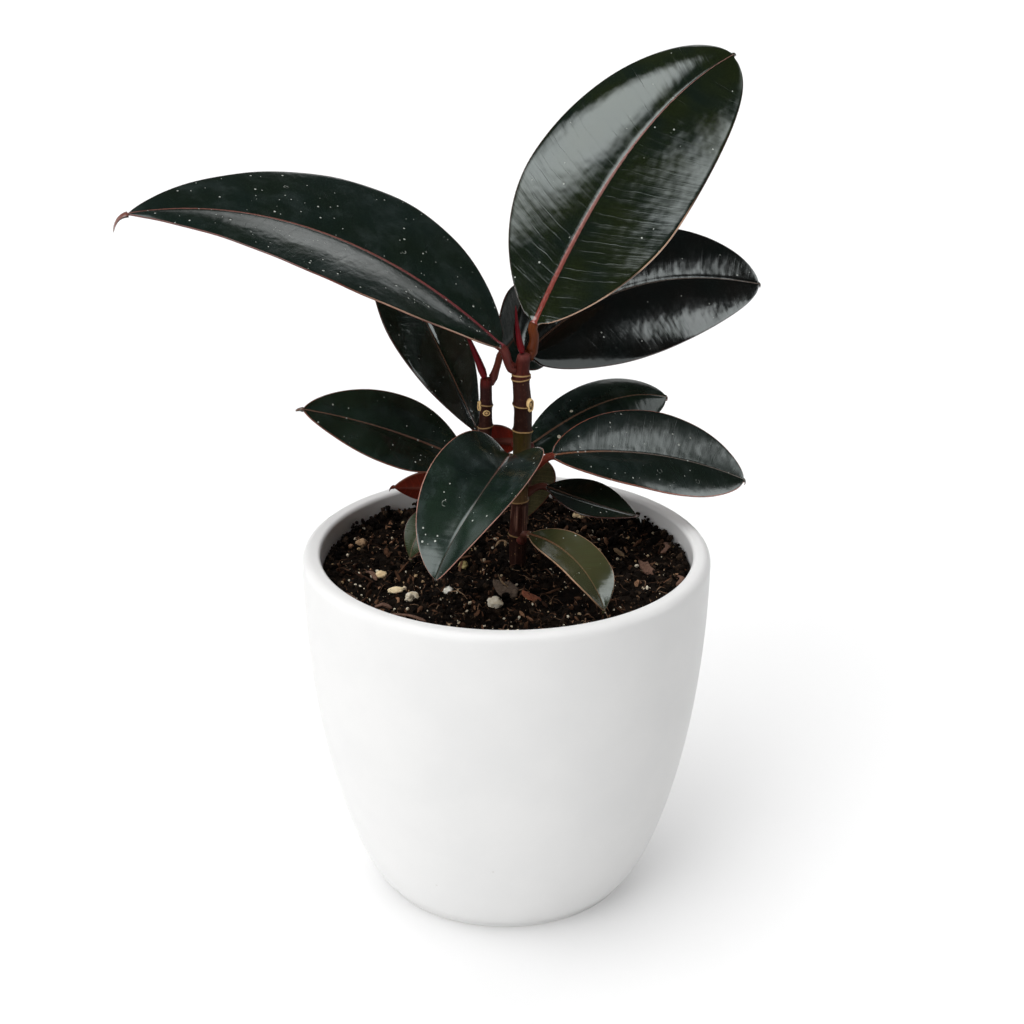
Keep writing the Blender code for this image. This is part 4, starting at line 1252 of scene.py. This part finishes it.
grey_wood = wood("weathered_wood", (0.075, 0.052, 0.038), (0.17, 0.125, 0.092), (0.012, 0.008, 0.006))
red_wood = wood("red_wood", (0.17, 0.050, 0.026), (0.30, 0.105, 0.055), (0.05, 0.014, 0.008))
brown_wood = wood("brown_wood", (0.10, 0.050, 0.034), (0.20, 0.115, 0.080), (0.03, 0.014, 0.010))
tan_wood = wood("tan_wood", (0.20, 0.12, 0.065), (0.38, 0.26, 0.15), (0.07, 0.04, 0.02))
make_strands("soil_strips", (
    (((-41, -40.2, 1.4), (-37, -42, 2.0), (-33, -42.8, 2.0), (-28, -46.6, 1.6)), 1.5, 0.5),
    (((-52, -3.5, 1.0), (-49.4, -6.0, 2.2), (-47.5, -11, 1.0)), 1.1, 0.4),
    (((-60, -22, 1.2), (-56, -27, 1.8), (-53, -31, 1.0)), 1.8, 0.8),
    (((-47, -34, 1.0), (-44, -33, 1.9), (-40.5, -35, 1.0)), 1.6, 0.7),
    (((58, 14, 1.2), (61, 18, 2.8), (60, 24, 1.6)), 1.2, 0.5),
    (((63, -6, 1.4), (64.5, -10, 2.4), (62, -14, 1.0)), 1.0, 0.45),
    (((55, -30, 1.0), (58, -27, 1.9), (60.5, -23, 1.0)), 0.8, 0.35),
), brown_wood)
make_strands("soil_twigs", (
    (((-3.0, -17.5, 7.0), (-1.8, -18.5, 4.4), (0.8, -20.5, 3.0)), 0.3, 0.3),
    (((-4.5, 19, 1.4), (-2.8, 21.5, 3.0), (-0.4, 20.8, 3.3), (-0.6, 18.6, 1.8)), 0.6, 0.35),
    (((34, 4, 1.0), (35.5, 8, 2.2), (34.6, 12, 2.6)), 0.3, 0.25),
), tan_wood)

white_grain = pale_bits("white_grains", (0.60, 0.50, 0.34), (0.92, 0.89, 0.80), 460.0)
cream_grain = pale_bits("cream_grains", (0.58, 0.40, 0.20), (0.90, 0.74, 0.48), 460.0)
moss_grain = pale_bits("mossy_grains", (0.20, 0.15, 0.05), (0.62, 0.52, 0.24), 1000.0)
brown_grain = pale_bits("brown_grains", (0.12, 0.065, 0.035), (0.40, 0.26, 0.15), 900.0)
for node, place in {
    "perlite_grain_1": dict(x=-34, y=-26, size=(5, 4), flat=0.9, turn=20, seed=1, surface=white_grain),
    "perlite_grain_2": dict(x=-40, y=-19, size=(6, 3.5), flat=0.6, turn=15, seed=2, surface=cream_grain),
    "perlite_grain_3": dict(x=-4, y=-30, size=(6, 5), flat=0.8, turn=-30, seed=3, surface=white_grain),
    "perlite_grain_4": dict(x=-46, y=-7, size=(4.2, 3.6), flat=0.9, turn=0, seed=4, surface=cream_grain),
    "perlite_grain_5": dict(x=-55, y=22, size=(4.6, 4), flat=0.9, turn=50, seed=5, surface=brown_grain),
    "perlite_grain_6": dict(x=-21, y=-19, size=(3.8, 3.4), flat=0.9, turn=10, seed=6, surface=white_grain),
    "perlite_grain_7": dict(x=-16, y=4, size=(4.4, 3.6), flat=0.9, turn=80, seed=7, surface=moss_grain),
    "perlite_grain_8": dict(x=28, y=50, size=(4.4, 4), flat=0.8, turn=0, seed=8, surface=cream_grain),
}.items():
    grain(node, **place)
for node, flake in {
    "bark_chip_1": dict(
        x=0, y=-21, thick=1.1, lean=(0.06, 0.5), rise=1.6, surface=grey_wood, seed=11,
        corners=((-5.2, 4.0), (-3.6, 5.0), (-1.2, 3.4), (1.6, 3.6), (4.6, 0.6), (3.8, -2.8), (-0.8, -4.2),
                 (-3.8, 0.4))),
    "bark_chip_2": dict(
        x=9, y=-26, thick=1.2, lean=(-0.22, 0.35), rise=1.6, surface=red_wood, seed=12,
        corners=((-3.4, 2.0), (-1.8, 1.9), (0.6, 0.9), (3.2, 0.4), (3.8, -0.6), (2.0, -1.9), (-1.2, -1.7),
                 (-3.2, 0.2))),
    "bark_chip_3": dict(
        x=52, y=0, thick=1.3, lean=(-0.12, 0.55), rise=1.7, surface=brown_wood, seed=13,
        corners=((-3.2, 3.0), (-1.2, 2.4), (0.4, 2.8), (1.6, 0.8), (3.6, -1.0), (2.4, -2.8), (-0.6, -2.2),
                 (-2.6, 0.0))),
    "bark_chip_4": dict(
        x=43, y=13, thick=1.2, lean=(-0.4, 0.3), rise=1.6, surface=tan_wood, seed=14,
        corners=((-3.0, 1.4), (-1.8, 1.8), (0.8, 0.7), (2.6, -0.8), (2.0, -1.6), (-0.6, -0.8), (-2.6, 0.4))),
}.items():
    chip(node, **flake)

cork = scar_cork("scar_cork")
# Colour bands of the bark from the soil up: start, colour and half width of the blend
main_bands = (
    (0, (0.030, 0.012, 0.009), 1.0), (138.5, (0.050, 0.016, 0.011), 0.8), (151.5, (0.12, 0.070, 0.026), 0.6),
    (156.0, (0.042, 0.028, 0.006), 3.0), (179.0, (0.019, 0.0055, 0.003), 0.5),
    (189.0, (0.033, 0.0085, 0.0055), 0.6),
    (199.5, (0.055, 0.008, 0.005), 0.8), (206.5, (0.115, 0.028, 0.024), 0.8),
)
second_bands = (
    (0, (0.030, 0.012, 0.009), 1.0), (139.5, (0.045, 0.015, 0.010), 0.8), (179.0, (0.030, 0.009, 0.006), 0.5),
    (187.5, (0.029, 0.007, 0.006), 0.6), (195.0, (0.095, 0.009, 0.007), 1.5),
)
stem("main_stem", MAIN_STEM, rings=(138.5, 151.5, 179.0, 189.0, 199.0, 200.3),
     ridged=((139.5, 151.0, 0.14), (121.0, 138.0, 0.05), (153.0, 178.0, 0.03)),
     scars=((189.4, -36.0, 1.75, 2.6, 0.8),), spurs=(((3.2, 2.4, 170.0), (1.6, -0.4, 172.2), 0.55),),
     surface=bark("main_stem_bark_look", main_bands), scar_surface=cork)
stem("second_stem", SECOND_STEM, rings=(139.5, 179.0, 187.5),
     ridged=((126.0, 139.0, 0.06), (141.0, 178.0, 0.03)),
     scars=((187.3, -160.0, 1.2, 2.0, 0.7), (184.9, -80.0, 1.4, 1.15, 0.5)), spurs=(),
     surface=bark("second_stem_bark_look", second_bands), scar_surface=cork, sides=60)

crimson = sheath_skin("bud_sheath_skin", (0.12, 0.003, 0.006), (0.085, 0.002, 0.005))
sheath("main_bud_sheath", (5.1, 4.9, 209.4), (3.4, 5.2, 215), (2.8, 5, 226.5), 1.25, crimson)
sheath("second_bud_sheath", (-8.6, 9, 198.7), (-11.2, 10, 206), (-16.2, 11.5, 217), 1.45, crimson)

# Colours of leaf edges, bodies, dark midribs, most undersides and most stalks
EDGE = (0.16, 0.055, 0.035)
DARK_EDGE = (0.05, 0.016, 0.012)
RED_EDGE = (0.13, 0.035, 0.025)
PINK_EDGE = (0.42, 0.19, 0.14)
COPPER_EDGE = (0.30, 0.10, 0.065)
GREEN = (0.0045, 0.0095, 0.0055)
BLUE_GREEN = (0.0050, 0.0110, 0.0085)
FRESH_GREEN = (0.0105, 0.0215, 0.0130)
OLIVE_GREEN = (0.0085, 0.0130, 0.0030)
BLACK_GREEN = (0.0022, 0.0040, 0.0034)
BROWN = (0.060, 0.028, 0.018)
UNDERSIDE = (0.075, 0.040, 0.022)
STALK = ((0.12, 0.03, 0.025), (0.12, 0.04, 0.03))


def looks(key, seed, body, patch, rib_base, rib_tip, edge, stalk=STALK, under=UNDERSIDE, **more):
    """The three materials of one leaf: upper side, lower side and stalk."""
    top = leaf_top(key + "_upper", body, patch, rib_base, rib_tip, edge, seed=seed, **more)
    below = leaf_under(key + "_lower", under, rib_base, edge, seed)
    return top, below, stalk_skin(key + "_stalk", *stalk, seed)


# Each leaf: its node; the stem it grows on, height and side of the stalk's foot, base of the blade,
# heading, pitch, length and width; body, patches, midrib at its base and at its tip, and edge; other
# settings of its materials; other settings of its shape
LEAVES = (
    ("top_right_leaf", (MAIN_STEM, 207.3, 35, (9.3, 9.0, 218.1), 41.5, 57, 126.5, 61.5),
     (OLIVE_GREEN, (0.0045, 0.0095, 0.0060), (0.24, 0.045, 0.035), (0.26, 0.13, 0.115), DARK_EDGE),
     dict(stalk=((0.075, 0.016, 0.004), (0.125, 0.030, 0.007)), rib=(0.85, 0.10), cream=(0.95, -1, 0.6),
          specks=0.3, gloss=0.07, veins=1.0, ior=1.62),
     dict(arch=-3, arch2=-35, sway=-10, sway2=0.8, roll=30, twist=22, fold=(3.5, -1.5), curl=(-30, 7),
          ease=2.3, widest=0.45, shoulder=0.68, point=0.41, stalk=1.7, climb=2.2, drip=4, crease=0.1)),
    ("top_left_leaf", (MAIN_STEM, 202.5, 185, (-1.9, 3.9, 210.9), 171, 43.1, 145.5, 75.5),
     (GREEN, BLUE_GREEN, (0.15, 0.026, 0.032), (0.17, 0.065, 0.050), RED_EDGE),
     dict(stalk=((0.075, 0.016, 0.012), (0.11, 0.022, 0.018)), rib=(0.85, 0.3), cream=(0.8, 1, 0.45),
          specks=1.7, dust_and_sheen=0.12, gloss=0.15, streaks=0.45),
     dict(arch=-42.5, arch2=-4.5, sway=-6, sway2=37.5, roll=-12, twist=-5, fold=(14, 14),
          curl=(0.5, -14.5), ease=0.4, widest=0.43, shoulder=0.71, point=0.87, stalk=1.6, climb=0.8,
          drip=9, drip_width=1.7, ripple=0.008, crease=-0.3, belly=0.9)),
    ("right_shaded_leaf", (MAIN_STEM, 200, 82, (6.2, 12.2, 205.4), 48, 26, 119.5, 54.5),
     (BLACK_GREEN, (0.0045, 0.0040, 0.0030), BROWN, (0.11, 0.085, 0.07), DARK_EDGE),
     dict(stalk=((0.10, 0.025, 0.02), (0.10, 0.025, 0.02)), specks=0.5, gloss=0.13, streaks=0.5),
     dict(arch=-57, arch2=14.5, sway=-8.5, sway2=-16.5, roll=47, twist=6, fold=(15.5, 19.5),
          curl=(-53, -34), ease=-1.9, widest=0.45, shoulder=0.5, point=0.58, ripple=0.01)),
    ("rear_upper_leaf", (SECOND_STEM, 196, 35, (-2.2, 17.4, 204.3), 70, 6, 57, 32),
     (BLUE_GREEN, GREEN, BROWN, (0.10, 0.06, 0.05), DARK_EDGE),
     dict(stalk=((0.10, 0.025, 0.02), (0.16, 0.04, 0.02)), specks=0.5, dust_and_sheen=0.1, gloss=0.25, shine=0.06,
          ior=1.3),
     dict(arch=-9, arch2=5.5, sway=0.5, sway2=8, roll=51.5, twist=6.5, fold=(18.5, 3), curl=(4, -13),
          widest=0.43, shoulder=0.49, climb=2.0)),
    ("rear_left_leaf", (SECOND_STEM, 174, 110, (-11, 14, 175), 147, 60.5, 87, 45),
     (FRESH_GREEN, GREEN, (0.16, 0.075, 0.05), (0.17, 0.10, 0.065), DARK_EDGE),
     dict(stalk=((0.10, 0.03, 0.025), (0.10, 0.04, 0.025)), specks=0.9, dust_and_sheen=0.16),
     dict(arch=-9, arch2=6.5, sway=-3.5, sway2=9.5, roll=6, twist=-11, fold=(4, 1.5), curl=(-5.5, -6.5),
          widest=0.52, shoulder=0.77)),
    ("lower_left_leaf", (SECOND_STEM, 162, 200, (-15, 9.8, 165), 192, 30, 67, 29.5),
     (FRESH_GREEN, GREEN, (0.14, 0.07, 0.05), (0.13, 0.07, 0.05), EDGE),
     dict(specks=1.3, dust_and_sheen=0.12),
     dict(arch=-12, sway=11, sway2=4, roll=-44, twist=-8, fold=(9.5, 12.5), curl=(-1, -5), widest=0.42,
          shoulder=0.68, point=0.7)),
    ("front_drooping_leaf", (MAIN_STEM, 168, -100, (0.9, 0, 170.8), -97, 15, 69.5, 41.5),
     (FRESH_GREEN, BLUE_GREEN, (0.12, 0.05, 0.038), (0.045, 0.036, 0.028), PINK_EDGE),
     dict(specks=1.0, dust_and_sheen=0.25, gloss=0.15, streaks=0.6, rib=(0.40, 0.14)),
     dict(arch=-71.5, arch2=-10, sway=-39.5, sway2=-6.5, roll=-15, twist=7, fold=(32, 30), curl=(24, 9),
          ease=0.7, widest=0.47, shoulder=0.42, point=0.64, drip=1.2, ripple=0.01, crease=-0.2)),
    ("right_middle_leaf", (MAIN_STEM, 164, -10, (16.2, 2, 170.2), 34.5, -6, 87, 37),
     (GREEN, BLUE_GREEN, (0.22, 0.090, 0.045), (0.14, 0.115, 0.10), COPPER_EDGE),
     dict(stalk=((0.15, 0.020, 0.010), (0.15, 0.026, 0.014)), rib=(0.42, 0.16), specks=1.0, dust_and_sheen=0.12,
          gloss=0.2, streaks=0.45),
     dict(arch=-19.5, arch2=-1, sway=-3.5, sway2=-19.5, roll=33.5, twist=1.5, fold=(33, 30),
          curl=(-19, -40), ease=-0.8, widest=0.57, shoulder=0.61, point=0.56, stalk=1.4, ripple=0.006,
          crease=0.0)),
    ("right_rear_leaf", (MAIN_STEM, 171, 48, (8.3, 21, 166.7), 31, 26.5, 64.5, 29.5),
     (FRESH_GREEN, BLUE_GREEN, (0.16, 0.08, 0.05), (0.14, 0.09, 0.06), EDGE),
     dict(specks=0.6, dust_and_sheen=0.22, gloss=0.14, shine=0.3, drops=((2.5, 21.8, 0.6), (-3.8, 11.2, 0.65))),
     dict(arch=-25, arch2=-22.5, sway=12.5, sway2=-13, roll=27.5, twist=16, fold=(-9, -9.5),
          curl=(-38, -22), ease=-0.2, widest=0.47, shoulder=0.46, point=0.45)),
    ("low_right_dark_leaf", (MAIN_STEM, 154, 30, (14.5, 9.6, 155), -14, -16, 35.5, 21.5),
     (BLACK_GREEN, GREEN, BROWN, (0.05, 0.035, 0.03), DARK_EDGE),
     dict(stalk=((0.10, 0.03, 0.02), (0.10, 0.03, 0.02)), specks=0.6),
     dict(arch=5, arch2=3.5, sway=-4, sway2=-1.5, roll=18.5, twist=-14, fold=(12.5, 11), curl=(4, 0.5))),
    ("low_front_olive_leaf", (MAIN_STEM, 137, -70, (8, -12.4, 145.4), -51, 11, 47, 23),
     ((0.030, 0.042, 0.016), (0.050, 0.050, 0.020), (0.20, 0.09, 0.05), (0.16, 0.10, 0.05),
      (0.38, 0.22, 0.13)),
     dict(stalk=((0.16, 0.04, 0.03), (0.16, 0.06, 0.04)), specks=0.3, gloss=0.16),
     dict(arch=-45, arch2=-27, sway=8, sway2=-10, roll=23, twist=-50, fold=(16.5, 8.5), curl=(2.5, 8.5),
          ease=0.7, widest=0.7, shoulder=0.79, point=0.72, drip=2, slot="olive_leaf")),
    ("rear_hanging_leaf", (MAIN_STEM, 166, 80, (9, 14, 166), 96, -50, 35, 21),
     (GREEN, BLUE_GREEN, (0.12, 0.07, 0.045), (0.10, 0.07, 0.045), EDGE),
     dict(under=(0.13, 0.115, 0.055), specks=0.4),
     dict(arch=-30, slot="olive_leaf")),
    ("low_left_tip_leaf", (SECOND_STEM, 139, 210, (-18.5, 14, 142.5), 212, 15, 28, 17),
     ((0.030, 0.050, 0.026), (0.042, 0.055, 0.024), (0.16, 0.10, 0.06), (0.14, 0.09, 0.05), EDGE),
     dict(stalk=((0.12, 0.03, 0.025), (0.12, 0.05, 0.03)), specks=0.3, gloss=0.25),
     dict(arch=-100, roll=-10, fold=(12, 12), slot="olive_leaf")),
    ("red_backed_leaf", (SECOND_STEM, 150, 190, (-17, 13, 152), 183, 10, 25, 18),
     (GREEN, OLIVE_GREEN, (0.12, 0.03, 0.02), (0.12, 0.04, 0.03), EDGE),
     dict(stalk=((0.12, 0.02, 0.015), (0.12, 0.02, 0.015)), under=(0.13, 0.014, 0.006), specks=0.3),
     dict(arch=-12, roll=60, fold=(10, 10), slot="red_leaf")),
    ("small_red_leaf", (MAIN_STEM, 171.8, 128, (3.9, 17.2, 169.9), 178, 2, 19.5, 13),
     (GREEN, OLIVE_GREEN, (0.12, 0.03, 0.02), (0.12, 0.04, 0.03), EDGE),
     dict(stalk=((0.14, 0.02, 0.015), (0.14, 0.02, 0.015)), under=(0.20, 0.014, 0.004), specks=0.3),
     dict(roll=84, fold=(6, 6), curl=(-5, -5), widest=0.42, shoulder=0.42, stalk=1.0, drip=1,
          slot="red_leaf")),
)
for number, (node, place, colours, coat, shape) in enumerate(LEAVES, 1):
    surfaces = looks(node.removesuffix("_leaf"), number, *colours, **coat)
    leaf(node, *place, surfaces, seed=number, **shape)


# --------------------------------------------------------- floor, light, camera

FLOOR_REACH = 9.0     # metres from the middle to each side
FLOOR_GLOW = 0.24     # keeps the floor as pale as the backdrop


def make_floor():
    mesh = bpy.data.meshes.new("floor")
    corners = [(x * FLOOR_REACH, y * FLOOR_REACH, 0) for x, y in ((-1, -1), (1, -1), (1, 1), (-1, 1))]
    mesh.from_pydata(corners, [], [(0, 1, 2, 3)])
    floor = bpy.data.objects.new("floor", mesh)
    bpy.context.scene.collection.objects.link(floor)
    s = Surface("pale_floor", Specular_IOR_Level=0.0, Base_Color=(0.70, 0.70, 0.70, 1.0), Roughness=1.0,
                Emission_Color=(1.0, 1.0, 1.0, 1.0), Emission_Strength=FLOOR_GLOW)
    mesh.materials.append(s.material)


# Round soft lights of the studio: azimuth (0 in front, positive to the right), elevation,
# radius of the full core, radius of the faded edge, and brightness
SOFT_LIGHTS = (
    (-50, 68, 14, 30, 3.0),
    (-33, 16, 11, 20, 2.7),
    (-110, 18, 8, 32, 0.95),
    (175, 13, 5, 15, 0.8),
)
ROOM_LIGHT = 0.035

# Broad lamps that only fill in the matt surfaces: azimuth, elevation, spread and strength
FILL_LAMPS = (
    (-38, 30, 40, 0.58),
    (-110, 20, 40, 0.25),
    (0, 84, 60, 1.0),
    (180, 45, 70, 1.1),
)

# A soft box at the right and a thin strip behind that only show as gloss
GLOSS_LAMPS = (
    (95, 22, 25, 0.47),
    (158, 16, 8, 0.011),
    (164, 21, 8, 0.011),
    (170, 24, 8, 0.011),
    (176, 27, 8, 0.011),
)


def towards(azimuth, elevation):
    """Direction of a light: azimuth 0 lies in front and grows to the right, both in degrees."""
    a = math.radians(azimuth)
    e = math.radians(elevation)
    return math.sin(a) * math.cos(e), -math.cos(a) * math.cos(e), math.sin(e)


def make_world():
    """A dim room with soft round lights, and a plain white backdrop where the camera looks past them."""
    world = bpy.data.worlds.new("studio")
    bpy.context.scene.world = world
    world.use_nodes = True
    nodes = Nodes(world.node_tree)
    way = nodes.add("ShaderNodeTexCoord").outputs["Generated"]
    total = 0.0
    for azimuth, elevation, core, fade, radiance in SOFT_LIGHTS:
        dot = nodes.add("ShaderNodeVectorMath", operation="DOT_PRODUCT")
        nodes.put(dot.inputs[0], way)
        dot.inputs[1].default_value = towards(azimuth, elevation)
        angle = nodes.math("ARCCOSINE", nodes.math("MINIMUM", dot.outputs["Value"], 1.0))
        light = nodes.ramp(angle, math.radians(fade), math.radians(core), 0.0, radiance)
        total = nodes.plus(total, light)
    room = nodes.tree.nodes["Background"]
    room.inputs["Color"].default_value = (1.0, 1.0, 1.0, 1.0)
    nodes.put(room.inputs["Strength"], nodes.plus(total, ROOM_LIGHT))
    backdrop = nodes.add("ShaderNodeBackground")
    backdrop.inputs["Strength"].default_value = 1.0
    mix = nodes.add("ShaderNodeMixShader")
    nodes.put(mix.inputs[0], nodes.add("ShaderNodeLightPath").outputs["Is Camera Ray"])
    nodes.put(mix.inputs[1], room.outputs[0])
    nodes.put(mix.inputs[2], backdrop.outputs[0])
    nodes.put(nodes.tree.nodes["World Output"].inputs["Surface"], mix.outputs[0])


def make_lamps(name, table, on_matt):
    """Distant lamps that light either only the matt part of the surfaces or only their gloss."""
    for azimuth, elevation, spread, strength in table:
        lamp = bpy.data.lights.new(name, "SUN")
        lamp.energy = strength
        lamp.angle = math.radians(spread)
        thing = bpy.data.objects.new(name, lamp)
        away = -Vector(towards(azimuth, elevation))
        thing.rotation_euler = away.to_track_quat("-Z", "Y").to_euler()
        thing.visible_diffuse = on_matt
        thing.visible_glossy = not on_matt
        bpy.context.scene.collection.objects.link(thing)


CAMERA_PLACE = (0.0019, -0.8, 0.488)
CAMERA_PITCH = 67.03
CAMERA_ROLL = 0.34
LENS_LENGTH = 83.43
SENSOR_WIDTH = 36.0


def make_camera():
    lens = bpy.data.cameras.new("camera")
    lens.lens = LENS_LENGTH
    lens.sensor_width = SENSOR_WIDTH
    camera = bpy.data.objects.new("camera", lens)
    pitch = Matrix.Rotation(math.radians(CAMERA_PITCH), 4, "X")
    roll = Matrix.Rotation(math.radians(CAMERA_ROLL), 4, "Z")
    camera.matrix_world = Matrix.Translation(CAMERA_PLACE) @ pitch @ roll
    bpy.context.scene.collection.objects.link(camera)
    bpy.context.scene.camera = camera


make_floor()
make_world()
make_lamps("fill_lamp", FILL_LAMPS, True)
make_lamps("gloss_lamp", GLOSS_LAMPS, False)
make_camera()
bpy.context.scene.view_settings.view_transform = "Standard"
